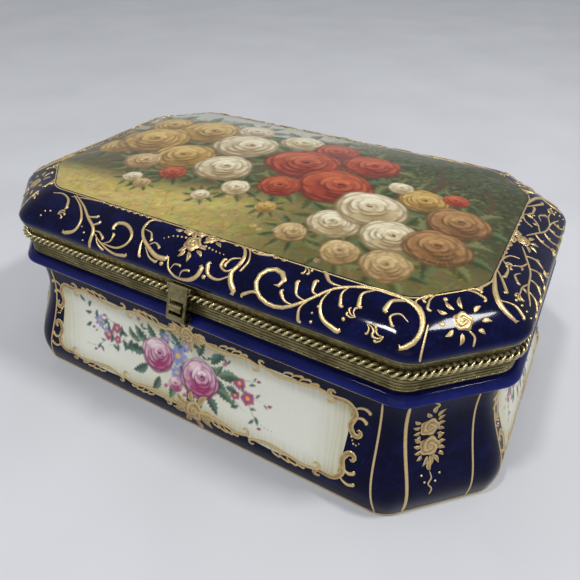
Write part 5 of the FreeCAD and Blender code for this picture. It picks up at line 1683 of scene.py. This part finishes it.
class TRINKET_OT_mounts(bpy.types.Operator):
    """Worn brass on the mounts, the hinge and the clasp, and matte cement behind them"""
    bl_idname = "trinket.mounts"
    bl_label = "Mounts, Hinge and Clasp"

    def execute(self, context):
        finishes = {"base_cement": shared(cement_plaster), "lid_cement": shared(cement_plaster)}
        ribbed = worn_brass("ribbed_brass", (0.25, 0.25, 3.0))
        for name in ("base_mount", "lid_mount"):
            finishes[name] = ribbed
        for name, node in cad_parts.items():
            finish = finishes.get(name) or shared(worn_brass)
            for slot in node.material_slots:
                slot.material = finish
        return {"FINISHED"}


# ---- stage -------------------------------------------------------------------------------------
WHITE, COOL = (1.0, 1.0, 1.0), (0.97, 0.985, 1.0)
# name, place, target, size and colour of each lamp, in metres
LAMPS = (
    ("window", (0.62, 0.16, 1.00), (0.07, -0.03, 0.08), (0.19, 0.10), WHITE),
    ("ceiling", (-0.13, -0.39, 1.10), (0.0, 0.0, 0.06), (0.10, 0.08), WHITE),
    ("fill", (0.42, -1.25, 0.85), (0.0, 0.0, 0.05), (1.0, 0.7), COOL),
)
FLOOR_HALF = 4.0
# the camera's place in metres, and its yaw, downward pitch and roll in degrees
CAMERA_PLACE = (0.11735, -0.20066, 0.19368)
CAMERA_TURNS = (29.30, 36.07, 0.53)


def lamp(name, place, target, size, power, colour):
    """A soft rectangular lamp that faces a point."""
    light = bpy.data.lights.new(name, "AREA")
    light.shape = "RECTANGLE"
    light.size, light.size_y = size
    light.energy = power
    light.color = colour
    item = bpy.data.objects.new(name, light)
    item.matrix_world = facing(np.array(place, float), np.array(target, float))
    bpy.context.scene.collection.objects.link(item)


def facing(place, target, roll=0.0):
    """Matrix of a lamp or camera whose -Z axis points from a place to a target."""
    forward = (target - place) / np.linalg.norm(target - place)
    right = np.cross(forward, (0.0, 0.0, 1.0))
    right /= np.linalg.norm(right)
    up = np.cross(right, forward)
    side = math.cos(roll) * right + math.sin(roll) * up
    top = math.cos(roll) * up - math.sin(roll) * right
    matrix = Matrix.Identity(4)
    for column, axis in enumerate((side, top, -forward, place)):
        for row in range(3):
            matrix[row][column] = axis[row]
    return matrix


class TRINKET_OT_stage(bpy.types.Operator):
    """Pale floor, soft lamps and the camera"""
    bl_idname = "trinket.stage"
    bl_label = "Stage"

    def execute(self, context):
        look = settings("stage")
        scene = context.scene
        make = Nodes("pale_floor")
        weave = make.noise(9.0, 3.0, 0.5)
        shade = tuple(value * 0.93 for value in look.floor)
        make.put(make.shader.inputs["Base Color"],
                 make.mix(weave, opaque(look.floor), opaque(shade)))
        data = bpy.data.meshes.new("floor")
        data.from_pydata([(-FLOOR_HALF, -FLOOR_HALF, 0), (FLOOR_HALF, -FLOOR_HALF, 0),
                          (FLOOR_HALF, FLOOR_HALF, 0), (-FLOOR_HALF, FLOOR_HALF, 0)], [],
                         [(0, 1, 2, 3)])
        data.materials.append(make.finish(Roughness=0.55))
        floor = bpy.data.objects.new("floor", data)
        scene.collection.objects.link(floor)

        for name, place, target, size, colour in LAMPS:
            lamp(name + "_lamp", place, target, size, getattr(look, name), colour)
        world = bpy.data.worlds.new("room")
        world.use_nodes = True
        world.node_tree.nodes["Background"].inputs["Color"].default_value = (0.80, 0.82, 0.86, 1.0)
        world.node_tree.nodes["Background"].inputs["Strength"].default_value = look.daylight
        scene.world = world

        camera = bpy.data.cameras.new("camera")
        camera.lens = look.lens
        camera.sensor_width = 36.0
        camera.clip_start = 0.01
        place = np.array(CAMERA_PLACE)
        yaw, pitch, roll = (math.radians(value) for value in CAMERA_TURNS)
        forward = np.array((-math.sin(yaw) * math.cos(pitch), math.cos(yaw) * math.cos(pitch),
                            -math.sin(pitch)))
        view = bpy.data.objects.new("camera", camera)
        view.matrix_world = facing(place, place + forward, roll)
        scene.collection.objects.link(view)
        scene.camera = view
        scene.view_settings.view_transform = "Standard"
        return {"FINISHED"}


# ---- registration ------------------------------------------------------------------------------
OPERATORS = (
    TRINKET_OT_lower_box,
    TRINKET_OT_lid,
    TRINKET_OT_reserves,
    TRINKET_OT_lid_painting,
    TRINKET_OT_lower_box_gilding,
    TRINKET_OT_lid_gilding,
    TRINKET_OT_rope,
    TRINKET_OT_mounts,
    TRINKET_OT_stage,
)


class TRINKET_PT_panel(bpy.types.Panel):
    """Sizes, colours and pieces of the trinket box"""
    bl_idname = "TRINKET_PT_panel"
    bl_label = "Trinket Box"
    bl_space_type = "VIEW_3D"
    bl_region_type = "UI"
    bl_category = "Trinket Box"

    def draw(self, context):
        for attribute, group in GROUPS:
            box = self.layout.box()
            for name in group.__annotations__:
                box.prop(getattr(context.scene, attribute), name)
        for operator in OPERATORS:
            self.layout.operator(operator.bl_idname)


CLASSES = tuple(group for attribute, group in GROUPS) + OPERATORS + (TRINKET_PT_panel,)


def register():
    """Register the classes and the settings of the scene."""
    for item in CLASSES:
        bpy.utils.register_class(item)
    for attribute, group in GROUPS:
        setattr(bpy.types.Scene, attribute, PointerProperty(type=group))


def unregister():
    """Remove the settings and the classes."""
    for attribute, _ in GROUPS:
        delattr(bpy.types.Scene, attribute)
    for item in reversed(CLASSES):
        bpy.utils.unregister_class(item)


def main():
    """Build every piece in order."""
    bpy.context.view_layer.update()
    register()
    for operator in OPERATORS:
        family, name = operator.bl_idname.split(".")
        getattr(getattr(bpy.ops, family), name)()


if __name__ == "__main__":
    main()
